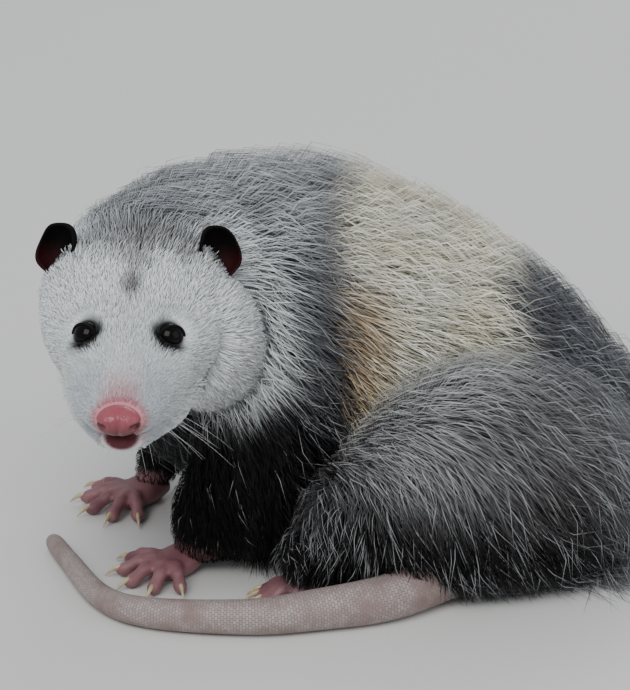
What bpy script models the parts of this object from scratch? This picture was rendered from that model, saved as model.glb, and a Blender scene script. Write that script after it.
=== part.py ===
"""A Virginia opossum, life size, crouched with its head turned to its left and its tail laid forward.

The animal was roughed out in the frame of its pose: +X runs from its chest to its rump, -Y is its
left side, and +Z is up, with the floor at zero. The last step sets the origin under the middle of
the whole animal. Sizes are in millimetres and are turned to metres as each mesh is made.
"""

import math
import random

import bmesh
import bpy
import numpy as np
from mathutils import Matrix, Vector
from mathutils.bvhtree import BVHTree

MM = 0.001
GAP = 0.3
UP = (0.0, 0.0, 1.0)
# The draw of each furred part's locks.
SEEDS = {
    "neck": 1,
    "torso": 1,
    "foreleg_left": 2,
    "foreleg_right": 1,
    "hindleg_left": 1,
    "hindleg_right": 1,
}
# The core of a furred part reaches this share of the way from the skin to the tips of its coat.
COAT_IN_CORE = 0.5
# Locks of the long coat, part by part: distance apart, half width, length, rise of the tip.
LOCKS = {
    "neck": (15.0, 10.0, 42.0, 15.0),
    "torso": (25.5, 15.0, 64.0, 16.0),
    "foreleg": (27.0, 10.0, 38.0, 6.5),
    "hindleg": (24.0, 14.0, 56.0, 12.0),
}
# A lock whose tip would hang lower than this is shortened by the share below until it doesn't.
LOWEST_TIP = 3.0
SHORTER = 0.8
SHORTEST = 0.4
# A lock's rings: share of its length, share of its rise, share of its half width, half thickness.
LOCK_RINGS = (
    (0.0, -0.45, 0.70, 2.2),
    (0.35, 0.25, 1.00, 1.9),
    (0.70, 0.62, 0.72, 1.3),
    (1.0, 1.0, 0.0, 0.0),
)

# Trunk rows run from rump to neck: x, y, z, half width, height above, depth below, depth of coat.
TORSO_ROWS = (
    (145, -38, 60, 12, 8, 20, 6),
    (137, -36, 58, 38, 15, 50, 16),
    (114, -27, 64, 58, 36, 64, 20),
    (82, -14, 70, 70, 62, 68, 22),
    (42, -2, 78, 75, 80, 74, 22),
    (-4, 2, 88, 76, 90, 80, 22),
    (-42, -4, 95, 68, 88, 72, 22),
    (-66, -18, 104, 56, 76, 56, 20),
    (-76, -32, 110, 42, 58, 44, 16),
)
# Neck rows run from the shoulders to the back of the skull, in the same columns.
NECK_ROWS = (
    (-46, -2, 104, 46, 60, 40, 14),
    (-62, -16, 114, 54, 66, 48, 20),
    (-74, -36, 124, 50, 51, 46, 18),
    (-79, -54, 130, 46, 38, 44, 12),
    (-80, -68, 131, 40, 24, 40, 8),
)

# The head and the neck meet on a flat so far behind the eyes.
NAPE_CUT = -46.0

# The head has its own frame at the midpoint between the eyes: left, ahead and above.
HEAD_AT = (-80.0, -95.0, 133.0)
HEAD_YAW = math.radians(3.0)
HEAD_PITCH = math.radians(1.0)
# Rows of the upper head, from nose to nape: ahead, above, half width, height, depth.
SKULL_ROWS = (
    (50, -18.5, 9.0, 6.5, 6.0),
    (44, -18.5, 14.0, 9.0, 9.0),
    (34, -17.5, 19.5, 11.0, 12.0),
    (20, -14.5, 24.5, 13.5, 17.5),
    (6, -10.0, 29.5, 16.0, 24.0),
    (-8, -6.5, 36.5, 20.0, 33.0),
    (-24, -5.0, 41.5, 25.5, 41.0),
    (-42, -4.0, 44.0, 31.0, 44.0),
    (-58, -3.0, 44.0, 36.0, 42.0),
    (-72, -2.0, 36.0, 30.0, 34.0),
)
# Rows of the lower jaw, from lip to throat, in the same columns.
JAW_ROWS = (
    (43, -33.0, 5.0, 3.0, 3.0),
    (39, -32.5, 10.0, 5.0, 5.5),
    (28, -31.0, 16.0, 7.0, 9.0),
    (12, -28.0, 22.0, 10.0, 15.0),
    (-8, -26.0, 32.0, 13.0, 22.0),
)
# The ruff of the cheek on the side that the head turns to: left, ahead, above, and its radii.
JOWL_AT = (29.0, -33.0, -19.0)
JOWL_SIZE = (28.0, 27.0, 33.0)
MOUTH_CORNER = (14.0, -25.5)
MOUTH_FRONT = (49.0, -28.3)
MOUTH_GAPE = 2.6

NOSE_AT = (0.0, 50.0, -17.5)
NOSE_SIZE = (10.2, 6.4, 7.2)
NOSTRIL_AT = (6.9, 54.6, -19.0)

EYE_RADIUS = 6.4
EYE_AT = (17.4, 1.0, -1.0)
EYE_LOOK = (0.45, 0.85, 0.28)
LID_RADIUS = 6.3
LID_THICK = 1.7

EAR_AT = (36.5, -47.0, 18.5)
EAR_LOOK = (0.42, 0.88, 0.20)
EAR_LEAN = math.radians(24.0)
EAR_HALF_HEIGHT = 13.5
EAR_HALF_WIDTH = 9.6
EAR_DEPTH = 10.0
EAR_WALL = 1.3

# Limb rows: x, y, z, half width, height in front or above, depth behind or below, depth of coat.
FORELEG_LEFT_ROWS = (
    (-34, -34, 92, 24, 24, 24, 10),
    (-30, -50, 72, 24, 26, 26, 12),
    (-34, -56, 50, 23, 36, 24, 9),
    (-46, -57, 30, 19, 32, 19, 5),
    (-54, -57, 15, 12, 18, 12, 2),
    (-59, -58, 8, 7, 6, 6, 1),
)
FORELEG_RIGHT_ROWS = (
    (-72, 22, 88, 24, 24, 24, 10),
    (-70, 34, 68, 22, 23, 24, 12),
    (-66, 34, 46, 18, 18, 19, 9),
    (-68, 24, 28, 13, 13, 14, 5),
    (-75, 16, 14, 10, 10, 10, 2),
    (-80, 13, 8, 7, 6, 6, 1),
)
HINDLEG_LEFT_ROWS = (
    (143, -44, 44, 16, 20, 46, 14),
    (126, -52, 52, 36, 34, 66, 20),
    (94, -62, 54, 46, 56, 74, 20),
    (62, -71, 50, 44, 64, 72, 18),
    (34, -77, 42, 34, 44, 54, 12),
    (11, -82, 30, 24, 27, 33, 8),
    (-5, -85, 22, 16, 13, 20, 5),
    (-14, -86, 16, 8, 7, 10, 2),
)
HINDLEG_RIGHT_ROWS = (
    (138, -20, 44, 16, 20, 46, 14),
    (121, -6, 52, 34, 40, 60, 20),
    (95, 14, 54, 44, 58, 63, 20),
    (66, 38, 50, 39, 60, 59, 18),
    (42, 54, 42, 30, 42, 48, 12),
    (22, 66, 30, 22, 27, 33, 8),
    (8, 74, 22, 15, 13, 20, 5),
    (0, 78, 16, 8, 7, 10, 2),
)

# Feet: where the wrist or heel stands, the way the foot points, and how its toes fan out.
FOREFEET = {
    "left": {"heel": (-57.0, -56.0), "heading": 222.0},
    "right": {"heel": (-76.0, 15.0), "heading": 216.0},
}
HINDFEET = {
    "left": {"heel": (40.0, -73.0), "heading": 195.0},
    "right": {"heel": (66.0, 74.0), "heading": 166.0},
}
FORE_TOES = (-68.0, -34.0, -4.0, 26.0, 60.0)
FORE_TOE_LENGTHS = (14.0, 17.0, 18.5, 17.5, 14.0)
FORE_PALM_LENGTH = 15.0
HIND_TOES = (-14.0, -2.0, 10.0, 22.0)
HIND_TOE_LENGTHS = (13.0, 15.0, 15.5, 14.5)
HIND_THUMB = -64.0
HIND_PALM_LENGTH = 52.0
TOE_RADIUS = 3.4
CLAW_LENGTH = 7.0
CLAW_RADIUS = 1.3

# The tail from its root under the rump to its blunt end: x, y, z, radius.
TAIL_ROWS = (
    (136, -38, 26, 12.6),
    (124, -52, 18, 12.2),
    (100, -64, 14, 11.8),
    (64, -82, 12, 11.2),
    (33, -104, 10.2, 10.4),
    (2, -114, 9.2, 9.2),
    (-29, -119, 8.1, 7.9),
    (-72, -113, 7.0, 6.8),
    (-94, -96, 5.8, 5.6),
    (-111, -58, 4.8, 4.6),
    (-118, -40, 4.2, 4.0),
    (-120, -35, 3.6, 2.2),
)
TAIL_CUTS = (2, 4, 6, 8)

FUR_GREY = ("fur_grey", (0.30, 0.29, 0.28), 0.8)
FUR_CREAM = ("fur_cream", (0.62, 0.57, 0.46), 0.8)
FUR_WHITE = ("fur_white", (0.78, 0.78, 0.75), 0.8)
FUR_BLACK = ("fur_black", (0.035, 0.032, 0.032), 0.8)
SKIN_PINK = ("skin_pink", (0.62, 0.30, 0.29), 0.45)
SKIN_TAIL = ("skin_tail", (0.60, 0.50, 0.45), 0.6)
SKIN_EAR = ("skin_ear", (0.02, 0.017, 0.018), 0.5)
EYE_BLACK = ("eye_black", (0.01, 0.008, 0.008), 0.05)
CLAW_HORN = ("claw_horn", (0.72, 0.62, 0.45), 0.4)


def clear_scene():
    for old in list(bpy.data.objects):
        bpy.data.objects.remove(old)


def material(kind):
    """The named finish, made once and shared by the nodes that have it."""
    name, colour, roughness = kind
    made = bpy.data.materials.get(name)
    if made is None:
        made = bpy.data.materials.new(name)
        made.use_nodes = True
        shader = made.node_tree.nodes["Principled BSDF"]
        shader.inputs["Base Color"].default_value = (*colour, 1.0)
        shader.inputs["Roughness"].default_value = roughness
        shader.inputs["Metallic"].default_value = 0.0
    return made


def unit(vector):
    vector = np.asarray(vector, float)
    return vector / np.linalg.norm(vector)


def head_axes():
    """The head's left, ahead and above as directions of the pose."""
    ahead_flat = np.array((-math.sin(HEAD_YAW), -math.cos(HEAD_YAW), 0.0))
    left = np.array((math.cos(HEAD_YAW), -math.sin(HEAD_YAW), 0.0))
    ahead = ahead_flat * math.cos(HEAD_PITCH) - np.array(UP) * math.sin(HEAD_PITCH)
    return left, ahead, np.cross(ahead, left)


def head_point(left, ahead, above):
    axes = head_axes()
    return np.array(HEAD_AT) + axes[0] * left + axes[1] * ahead + axes[2] * above


def head_way(way):
    axes = head_axes()
    return unit(axes[0] * way[0] + axes[1] * way[1] + axes[2] * way[2])


def mirrored(point, side):
    return (point[0] * side, point[1], point[2])


def through(rows, steps):
    """Rows along a smooth curve through the given ones, with so many steps to each span."""
    rows = np.array(rows, float)
    padded = np.vstack([2 * rows[0] - rows[1], rows, 2 * rows[-1] - rows[-2]])
    found = []
    for a, b, c, d in zip(padded, padded[1:], padded[2:], padded[3:]):
        for t in np.arange(steps) / steps:
            line = 2 * b + (c - a) * t
            bend = (2 * a - 5 * b + 4 * c - d) * t**2 + (3 * b - a - 3 * c + d) * t**3
            found.append((line + bend) / 2)
    found.append(rows[-1])
    return np.array(found)


def new_object(name, mesh, kind=None):
    """Turns a mesh in millimetres into an object in metres, with its faces pointing out."""
    bmesh.ops.remove_doubles(mesh, verts=mesh.verts, dist=1e-4)
    bmesh.ops.recalc_face_normals(mesh, faces=mesh.faces)
    bmesh.ops.scale(mesh, vec=(MM, MM, MM), verts=mesh.verts)
    data = bpy.data.meshes.new(name)
    mesh.to_mesh(data)
    mesh.free()
    made = bpy.data.objects.new(name, data)
    bpy.context.scene.collection.objects.link(made)
    if kind:
        finish(made, kind)
    return made


def finish(node, kind):
    node.data.materials.clear()
    node.data.materials.append(material(kind))
    node.data.shade_smooth()


def skin_rings(mesh, rings):
    """Joins rings of points, each the same count, into a closed surface with flat ends."""
    made = [[mesh.verts.new(point) for point in ring] for ring in rings]
    count = len(made[0])
    for low, high in zip(made, made[1:]):
        for k in range(count):
            n = (k + 1) % count
            mesh.faces.new((low[k], low[n], high[n], high[k]))
    mesh.faces.new(made[0][::-1])
    mesh.faces.new(made[-1])


def oval_ring(centre, along, up, width, above, below, sides):
    side = unit(np.cross(along, up))
    top = np.cross(side, along)
    ring = []
    for k in range(sides):
        angle = math.tau * k / sides
        high = above if math.sin(angle) > 0 else below
        ring.append(
            centre + side * width * math.cos(angle) + top * high * math.sin(angle)
        )
    return ring


def tube(name, rows, sides=24, steps=4, up=UP, kind=None):
    """A closed tube of oval rings: x, y, z, half width, height above, depth below."""
    rows = through(rows, steps)
    ways = np.gradient(rows[:, :3], axis=0)
    rings = [
        oval_ring(row[:3], unit(way), up, row[3], row[4], row[5], sides)
        for row, way in zip(rows, ways)
    ]
    mesh = bmesh.new()
    skin_rings(mesh, rings)
    return new_object(name, mesh, kind)


def ball(name, centre, size, axes=None, rings=8, kind=None):
    """An ellipsoid with its own three axes."""
    mesh = bmesh.new()
    bmesh.ops.create_uvsphere(mesh, u_segments=rings * 2, v_segments=rings, radius=1.0)
    axes = np.eye(3) if axes is None else np.array(axes)
    for vert in mesh.verts:
        spread = axes.T @ (np.array(vert.co) * np.array(size))
        vert.co = Vector(np.array(centre) + spread)
    return new_object(name, mesh, kind)


def apply_modifiers(node):
    graph = bpy.context.evaluated_depsgraph_get()
    mesh = bpy.data.meshes.new_from_object(node.evaluated_get(graph))
    node.modifiers.clear()
    old = node.data
    node.data = mesh
    bpy.data.meshes.remove(old)


def cut_plane(node, point, way):
    """Cuts a node off square, past a point in the direction given."""
    mesh = bmesh.new()
    bmesh.ops.create_cube(mesh, size=1000.0)
    bmesh.ops.translate(mesh, vec=(0, 0, 500.0), verts=mesh.verts)
    turn = Vector(way).to_track_quat("Z", "Y").to_matrix()
    bmesh.ops.rotate(mesh, cent=(0, 0, 0), matrix=turn, verts=mesh.verts)
    bmesh.ops.translate(mesh, vec=tuple(point), verts=mesh.verts)
    boolean(node, [new_object("half", mesh)], "DIFFERENCE")
    drop_scraps(node)


def drop_scraps(node):
    """Keeps the largest closed surface of a node."""
    mesh = bmesh.new()
    mesh.from_mesh(node.data)
    left = set(mesh.verts)
    pieces = []
    while left:
        edge = [left.pop()]
        piece = set(edge)
        while edge:
            vert = edge.pop()
            for link in vert.link_edges:
                other = link.other_vert(vert)
                if other in left:
                    left.discard(other)
                    piece.add(other)
                    edge.append(other)
        pieces.append(piece)
    pieces.sort(key=len)
    scraps = [vert for piece in pieces[:-1] for vert in piece]
    bmesh.ops.delete(mesh, geom=scraps, context="VERTS")
    mesh.to_mesh(node.data)
    mesh.free()


def boolean(node, others, operation):
    """Applies one Boolean with a collection of closed meshes, which are then removed."""
    group = bpy.data.collections.new("pieces")
    for other in others:
        group.objects.link(other)
    modifier = node.modifiers.new(operation.title(), "BOOLEAN")
    modifier.operation = operation
    modifier.operand_type = "COLLECTION"
    modifier.collection = group
    modifier.solver = "MANIFOLD"
    apply_modifiers(node)
    for other in others:
        bpy.data.objects.remove(other)
    bpy.data.collections.remove(group)


def fuse(name, pieces, voxel, triangles, kind, passes=3):
    """Melts overlapping pieces into one smooth skin of about so many triangles."""
    first = pieces[0]
    if len(pieces) > 1:
        with bpy.context.temp_override(
            active_object=first, selected_editable_objects=pieces
        ):
            bpy.ops.object.join()
    first.name = name
    melt = first.modifiers.new("Melt", "REMESH")
    melt.mode = "VOXEL"
    melt.voxel_size = voxel * MM
    relax = first.modifiers.new("Relax", "SMOOTH")
    relax.factor = 0.5
    relax.iterations = passes
    apply_modifiers(first)
    thin = first.modifiers.new("Thin", "DECIMATE")
    thin.ratio = min(1.0, triangles / (2 * len(first.data.polygons)))
    thin.use_collapse_triangulate = True
    apply_modifiers(first)
    drop_scraps(first)
    finish(first, kind)
    return first


def grown(node, by):
    """A copy of a node with its surface moved out by so many millimetres."""
    copy = bpy.data.objects.new("grown", node.data.copy())
    bpy.context.scene.collection.objects.link(copy)
    push = copy.modifiers.new("Grow", "DISPLACE")
    push.direction = "NORMAL"
    push.mid_level = 0.0
    push.strength = by * MM
    apply_modifiers(copy)
    return copy


def clear_of(node, neighbours, room=()):
    """Cuts a node back from its neighbours, which keep their shape, and leaves the gap."""
    cutters = [grown(neighbour, GAP) for neighbour in neighbours]
    cutters += [grown(each, 0.0) for each in room]
    boolean(node, cutters, "DIFFERENCE")
    drop_scraps(node)


def flatten_on_floor(node):
    """Cuts off what would reach below the floor, which leaves a flat to rest on."""
    cut_plane(node, (0, 0, 0), (0, 0, -1))


def core_rows(rows):
    """Rows without the share of the coat that stands above the core."""
    rows = np.array(rows, float)
    bare = rows[:, :6].copy()
    bare[:, 3:6] -= rows[:, 6:7] * (1.0 - COAT_IN_CORE)
    return bare


def surface_of(node):
    return BVHTree.FromObject(node, bpy.context.evaluated_depsgraph_get())


def holds(surface, point, margin):
    """Whether a point lies inside a closed surface, or within the margin of it."""
    place, out, _, _ = surface.find_nearest(point)
    return (point - place).dot(out) < margin * MM


def trunk_lie(point, out):
    """From the shoulders back to the rump, sinking down the flanks."""
    return Vector((1.0, 0.0, -0.15 - 0.75 * (1.0 - max(out.z, 0.0))))


def neck_lie(point, out):
    """From the crown back over the nape, and out and down over the shoulder."""
    return Vector((0.55, 0.85, -0.55 * (1.0 - max(out.z, 0.0))))


def foreleg_lie(point, out):
    return Vector((0.25, 0.0, -1.0))


def hindleg_lie(point, out):
    """Down the thigh, drawn forwards at the knee and backwards at the hip."""
    back = (point.x / MM - 25.0) / 95.0
    return Vector((min(max(back, -0.45), 0.8), 0.0, -1.0))


def lock_path(surface, start, lie, turn, length, rise):
    """Where each ring of a lock stands as it leaves the core, bends over it along the lie, and
    hangs free past an edge."""
    place, out, _, _ = surface.find_nearest(start)
    last, path = 0.0, []
    for share, high, _, _ in LOCK_RINGS:
        way = turn @ lie(place, out)
        way = (way - out * way.dot(out)).normalized()
        place = place + way * length * (share - last) * MM
        last = share
        below, slope, _, _ = surface.find_nearest(place)
        if slope.dot(out) > 0.5 and slope.z > -0.4:
            place, out = below, slope
        centre = np.array(place) / MM + np.array(out) * rise * high
        path.append((centre, np.array(way), np.array(out)))
    return path


def lock(path, half_width, grow=0.0):
    """A flat blade along a path, tapered to its tip, or the same blade grown."""
    rings = []
    tip = path[-1][0] + unit(path[-1][0] - path[-2][0]) * 2.0 * grow
    for (centre, way, out), (share, _, wide, thick) in zip(path, LOCK_RINGS):
        centre = tip if share == 1.0 else centre
        sizes = (half_width * wide + 2.0 * grow, thick + grow, thick + grow)
        rings.append(oval_ring(centre, way, out, *sizes, 4))
    mesh = bmesh.new()
    skin_rings(mesh, rings)
    bmesh.ops.triangulate(mesh, faces=mesh.faces, quad_method="FIXED")
    return new_object("lock", mesh)


def starts_on(node, apart, reach, lie, keep):
    """Seeded points on a core, evenly spread, whose locks the test given allows."""
    mesh = node.data
    corners = [[mesh.vertices[k].co for k in face.vertices] for face in mesh.polygons]
    areas = [face.area for face in mesh.polygons]
    found = []
    for a, b, c in random.choices([face[:3] for face in corners], areas, k=3000):
        u, v = random.random(), random.random()
        if u + v > 1.0:
            u, v = 1.0 - u, 1.0 - v
        point = a + (b - a) * u + (c - a) * v
        near = any((point - other).length < apart * MM for other in found)
        out = (b - a).cross(c - a).normalized()
        end = point + lie(point, out).normalized() * reach * MM
        if not near and out.z > -0.5 and keep(point, end):
            found.append(point)
    return found


def add_locks(node, kind, lie, keep):
    """Fuses the locks of the long coat to a core, and returns copies grown by the gap."""
    apart, half_width, length, rise = LOCKS[kind]
    random.seed(SEEDS[node.name])
    surface = surface_of(node)
    locks, room = [], [grown(node, GAP)]
    for start in starts_on(node, apart, length * 0.7, lie, keep):
        turn = Matrix.Rotation(random.uniform(-0.16, 0.16), 3, "Z")
        reach = length * random.uniform(0.85, 1.15)
        high = rise * random.uniform(0.85, 1.1)
        wide = half_width * random.uniform(0.85, 1.15)
        path = lock_path(surface, start, lie, turn, reach, high)
        while path[-1][0][2] < LOWEST_TIP and reach > SHORTEST * length:
            reach *= SHORTER
            path = lock_path(surface, start, lie, turn, reach, high)
        locks.append(lock(path, wide))
        room.append(lock(path, wide, GAP))
    boolean(node, locks, "UNION")
    drop_scraps(node)
    return room


def head_rows(rows):
    """Rows of the head's own frame as rows of the pose."""
    return [(*head_point(0, ahead, above), *rest) for ahead, above, *rest in rows]


def mouth_cutter():
    """The slit between the lips: a wedge that opens forwards and follows the muzzle."""
    corner, corner_high = MOUTH_CORNER
    front, front_high = MOUTH_FRONT
    mesh = bmesh.new()
    rings = []
    for t in np.linspace(0, 1, 5):
        ahead = corner + (front - corner) * t
        high = corner_high + (front_high - corner_high) * t
        half = 0.5 + (MOUTH_GAPE - 1.0) / 2 * t**2
        reach = 30.0 - 8.0 * t
        ring = [
            head_point(-reach, ahead, high - half),
            head_point(reach, ahead, high - half),
            head_point(reach, ahead, high + half),
            head_point(-reach, ahead, high + half),
        ]
        rings.append(ring)
    skin_rings(mesh, rings)
    return new_object("mouth", mesh)


def mouth_core():
    """The flesh that closes the slit a few millimetres inside the lips."""
    rows = [
        (corner, high, half, 4.0, 4.0)
        for corner, high, half in ((6, -26, 14.0), (22, -27, 9.0), (34, -28, 5.0))
    ]
    return tube("mouth_core", head_rows(rows), sides=12)


def lid_ring(side):
    """The lids as a ring of flesh round the eye, drawn in at its front and back corners."""
    centre = head_point(*mirrored(EYE_AT, side))
    look = head_way(mirrored(EYE_LOOK, side))
    across = unit(np.cross(look, UP))
    high = np.cross(across, look)
    rows = []
    for angle in np.linspace(0, math.tau, 17)[:-1]:
        spread = across * math.cos(angle) * 1.12 + high * math.sin(angle) * 0.92
        point = centre + spread * LID_RADIUS + look * 2.2
        rows.append(point)
    mesh = bmesh.new()
    rings = []
    for k, point in enumerate(rows):
        along = unit(rows[(k + 1) % len(rows)] - rows[k - 1])
        rings.append(
            oval_ring(point, along, look, LID_THICK, LID_THICK, LID_THICK, 8)
        )
    made = [[mesh.verts.new(point) for point in ring] for ring in rings]
    for low, up_ring in zip(made, made[1:] + made[:1]):
        for k in range(8):
            n = (k + 1) % 8
            mesh.faces.new((low[k], low[n], up_ring[n], up_ring[k]))
    return new_object("lid", mesh)


def build_head():
    pieces = [
        tube("skull", head_rows(SKULL_ROWS), sides=32),
        tube("jaw", head_rows(JAW_ROWS), sides=24),
        ball("jowl", head_point(*JOWL_AT), JOWL_SIZE, head_axes(), rings=12),
        lid_ring(1),
        lid_ring(-1),
    ]
    head = fuse("head", pieces, 1.6, 1600, FUR_WHITE, passes=4)
    boolean(head, [mouth_cutter()], "DIFFERENCE")
    boolean(head, [mouth_core()], "UNION")
    boolean(head, [eye_opening(1), eye_opening(-1)], "DIFFERENCE")
    drop_scraps(head)
    return head


def eye_opening(side):
    """The almond between the lids, through which the eyeball shows."""
    look = head_way(mirrored(EYE_LOOK, side))
    across = unit(np.cross(look, UP))
    centre = head_point(*mirrored(EYE_AT, side)) + look * EYE_RADIUS
    axes = (across, np.cross(across, look), look)
    return ball("opening", centre, (5.9, 5.0, 6.0), axes)


def build_nose():
    left, ahead, above = head_axes()
    pieces = [
        ball("pad", head_point(*NOSE_AT), NOSE_SIZE, (left, ahead, above)),
        ball("wing", head_point(6.6, 49.5, -18.2), (4.6, 4.8, 4.8)),
        ball("wing", head_point(-6.6, 49.5, -18.2), (4.6, 4.8, 4.8)),
    ]
    nose = fuse("nose", pieces, 1.0, 220, SKIN_PINK, passes=3)
    holes = []
    for side in (1, -1):
        way = head_way((0.75 * side, 0.6, -0.15))
        axes = (way, unit(np.cross(way, above)), np.cross(way, unit(np.cross(way, above))))
        centre = head_point(NOSTRIL_AT[0] * side, *NOSTRIL_AT[1:])
        holes.append(ball("nostril", centre, (3.2, 1.3, 1.9), axes, rings=5))
    boolean(nose, holes, "DIFFERENCE")
    drop_scraps(nose)
    finish(nose, SKIN_PINK)
    return nose


def build_eye(name, side):
    centre = head_point(*mirrored(EYE_AT, side))
    return ball(name, centre, (EYE_RADIUS,) * 3, rings=7, kind=EYE_BLACK)


def ear_ring(centre, axes, share, deep, sides):
    """One oval of the ear's bowl, so far down towards its bottom."""
    across, high, look = axes
    ring = []
    for k in range(sides):
        angle = math.tau * k / sides
        spread = across * math.cos(angle) * EAR_HALF_WIDTH * share
        spread = spread + high * math.sin(angle) * EAR_HALF_HEIGHT * share
        ring.append(centre + spread - look * deep)
    return ring


def build_ear(name, side):
    """A thin oval bowl that opens forwards, with a rim that the two skins share."""
    look = head_way(mirrored(EAR_LOOK, side))
    left, ahead, above = head_axes()
    lean = above * math.cos(EAR_LEAN) - left * side * math.sin(EAR_LEAN)
    across = unit(np.cross(look, lean))
    axes = (across, np.cross(across, look), look)
    centre = head_point(*mirrored(EAR_AT, side))
    outer = [
        ear_ring(centre, axes, math.sin(angle), EAR_DEPTH * math.cos(angle), 14)
        for angle in np.linspace(0.25, math.pi / 2, 4)
    ]
    hollow = EAR_DEPTH - EAR_WALL
    thin = 1.0 - EAR_WALL / EAR_HALF_WIDTH
    inner = [
        ear_ring(centre, axes, thin * math.sin(angle), hollow * math.cos(angle), 14)
        for angle in np.linspace(math.pi / 2, 0.3, 4)
    ]
    mesh = bmesh.new()
    skin_rings(mesh, outer + inner)
    return new_object(name, mesh, SKIN_EAR)


def flat_way(degrees):
    angle = math.radians(degrees)
    return np.array((math.cos(angle), math.sin(angle), 0.0))


def toe(base, degrees, length, radius):
    """A plump toe that rises from the palm, bends down and ends in a pad on the floor."""
    way = flat_way(degrees)
    rows = []
    for t, high, thick in (
        (-0.3, 6.0, 0.95),
        (0.15, 7.6, 1.0),
        (0.5, 7.0, 0.92),
        (0.8, 4.4, 0.95),
        (1.0, 3.2, 0.85),
    ):
        point = np.array((*base, 0.0)) + way * length * t + np.array(UP) * high
        rows.append((*point, *(radius * thick,) * 3))
    end = np.array((*base, 0.0)) + way * (length + 2.2) + np.array(UP) * 2.8
    rows.append((*end, *(radius * 0.35,) * 3))
    return tube("toe", rows, sides=10, steps=2)


def build_claw(name, base, degrees, length):
    """A curved horn cone that leaves the top of the toe's end."""
    way = flat_way(degrees)
    rows = []
    for t, high, thick in ((-0.35, 4.3, 0.9), (0.2, 4.4, 0.95), (0.7, 2.9, 0.6), (1.0, 1.0, 0.15)):
        reach = length + CLAW_LENGTH * t
        point = np.array((*base, 0.0)) + way * reach + np.array(UP) * high
        thickness = CLAW_RADIUS * thick
        rows.append((*point, thickness, thickness, thickness))
    return tube(name, rows, sides=5, steps=1, kind=CLAW_HORN)


def toes_of(foot, palm, fan, lengths):
    """Base, heading and length of each toe, set round the front of the palm."""
    heel = np.array(foot["heel"])
    ahead = flat_way(foot["heading"])[:2]
    across = flat_way(foot["heading"] + 90)[:2]
    found = []
    for degrees, length in zip(fan, lengths):
        spread = math.radians(degrees * 0.9)
        base = heel + ahead * (palm - 4 + 4 * math.cos(spread))
        base = base + across * 8.0 * math.sin(spread)
        found.append((base, foot["heading"] + degrees, length))
    return found


def build_forefoot(side_name):
    foot = FOREFEET[side_name]
    heel = np.array((*foot["heel"], 0.0))
    ahead = flat_way(foot["heading"])
    palm = [
        (*(heel + ahead * reach + np.array((0, 0, high))), wide, tall, tall)
        for reach, high, wide, tall in (
            (-7, 6.5, 5.5, 5.0),
            (0, 6.5, 8.5, 6.5),
            (8, 5.5, 10.5, 6.0),
            (15, 5.0, 10.0, 5.2),
            (19, 4.5, 6.0, 3.5),
        )
    ]
    toes = toes_of(foot, FORE_PALM_LENGTH, FORE_TOES, FORE_TOE_LENGTHS)
    pieces = [tube("palm", palm, sides=16, steps=3)]
    pieces += [toe(base, degrees, length, TOE_RADIUS) for base, degrees, length in toes]
    node = fuse(f"forefoot_{side_name}", pieces, 1.1, 340, SKIN_PINK, passes=2)
    flatten_on_floor(node)
    claws = [
        build_claw(f"claw_fore_{side_name}_{k + 1}", *toe_row)
        for k, toe_row in enumerate(toes)
    ]
    return node, claws


def build_hindfoot(side_name):
    foot = HINDFEET[side_name]
    mirror = 1 if side_name == "left" else -1
    heel = np.array((*foot["heel"], 0.0))
    ahead = flat_way(foot["heading"])
    sole = [
        (*(heel + ahead * reach + np.array((0, 0, high))), wide, tall, tall)
        for reach, high, wide, tall in (
            (-8, 8.0, 5.0, 5.0),
            (0, 8.5, 8.0, 8.0),
            (18, 7.5, 9.0, 7.8),
            (38, 6.0, 11.5, 6.8),
            (50, 5.2, 11.0, 5.6),
            (56, 4.6, 7.0, 4.0),
        )
    ]
    fan = [degrees * mirror for degrees in HIND_TOES]
    toes = toes_of(foot, HIND_PALM_LENGTH, fan, HIND_TOE_LENGTHS)
    thumb_base = (heel + ahead * 36 + flat_way(foot["heading"] - 90 * mirror) * 6)[:2]
    thumb_way = foot["heading"] + HIND_THUMB * mirror
    pieces = [tube("sole", sole, sides=16, steps=3)]
    pieces += [toe(base, way, length, TOE_RADIUS * 0.95) for base, way, length in toes]
    pieces.append(toe(thumb_base, thumb_way, 15.0, TOE_RADIUS * 1.05))
    node = fuse(f"hindfoot_{side_name}", pieces, 1.2, 340, SKIN_PINK, passes=2)
    flatten_on_floor(node)
    claws = [
        build_claw(f"claw_hind_{side_name}_{k + 1}", *toe_row)
        for k, toe_row in enumerate(toes)
    ]
    return node, claws


def build_tail():
    """The tail in lengths that meet face to face, each cut square with the gap between."""
    rows = through(TAIL_ROWS, 3)
    ways = [unit(way) for way in np.gradient(rows[:, :3], axis=0)]
    bounds = [0] + [cut * 3 for cut in TAIL_CUTS] + [len(rows) - 1]
    nodes = []
    for k, (first, last) in enumerate(zip(bounds, bounds[1:])):
        mesh = bmesh.new()
        rings = []
        for n in range(first, last + 1):
            start = rows[n, :3] + ways[n] * (GAP if k and n == first else 0.0)
            rings.append(oval_ring(start, ways[n], UP, *(rows[n, 3],) * 3, 12))
        skin_rings(mesh, rings)
        node = new_object(f"tail_{k + 1}", mesh, SKIN_TAIL)
        flatten_on_floor(node)
        nodes.append(node)
    return nodes


def centre_on_floor(nodes):
    """Moves the whole animal so that the origin lies under the middle of its box."""
    corners = np.array(
        [vert.co for node in nodes for vert in node.data.vertices], float
    )
    low, high = corners.min(0), corners.max(0)
    shift = Vector((-(low[0] + high[0]) / 2, -(low[1] + high[1]) / 2, -low[2]))
    for node in nodes:
        for vert in node.data.vertices:
            vert.co += shift


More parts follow.
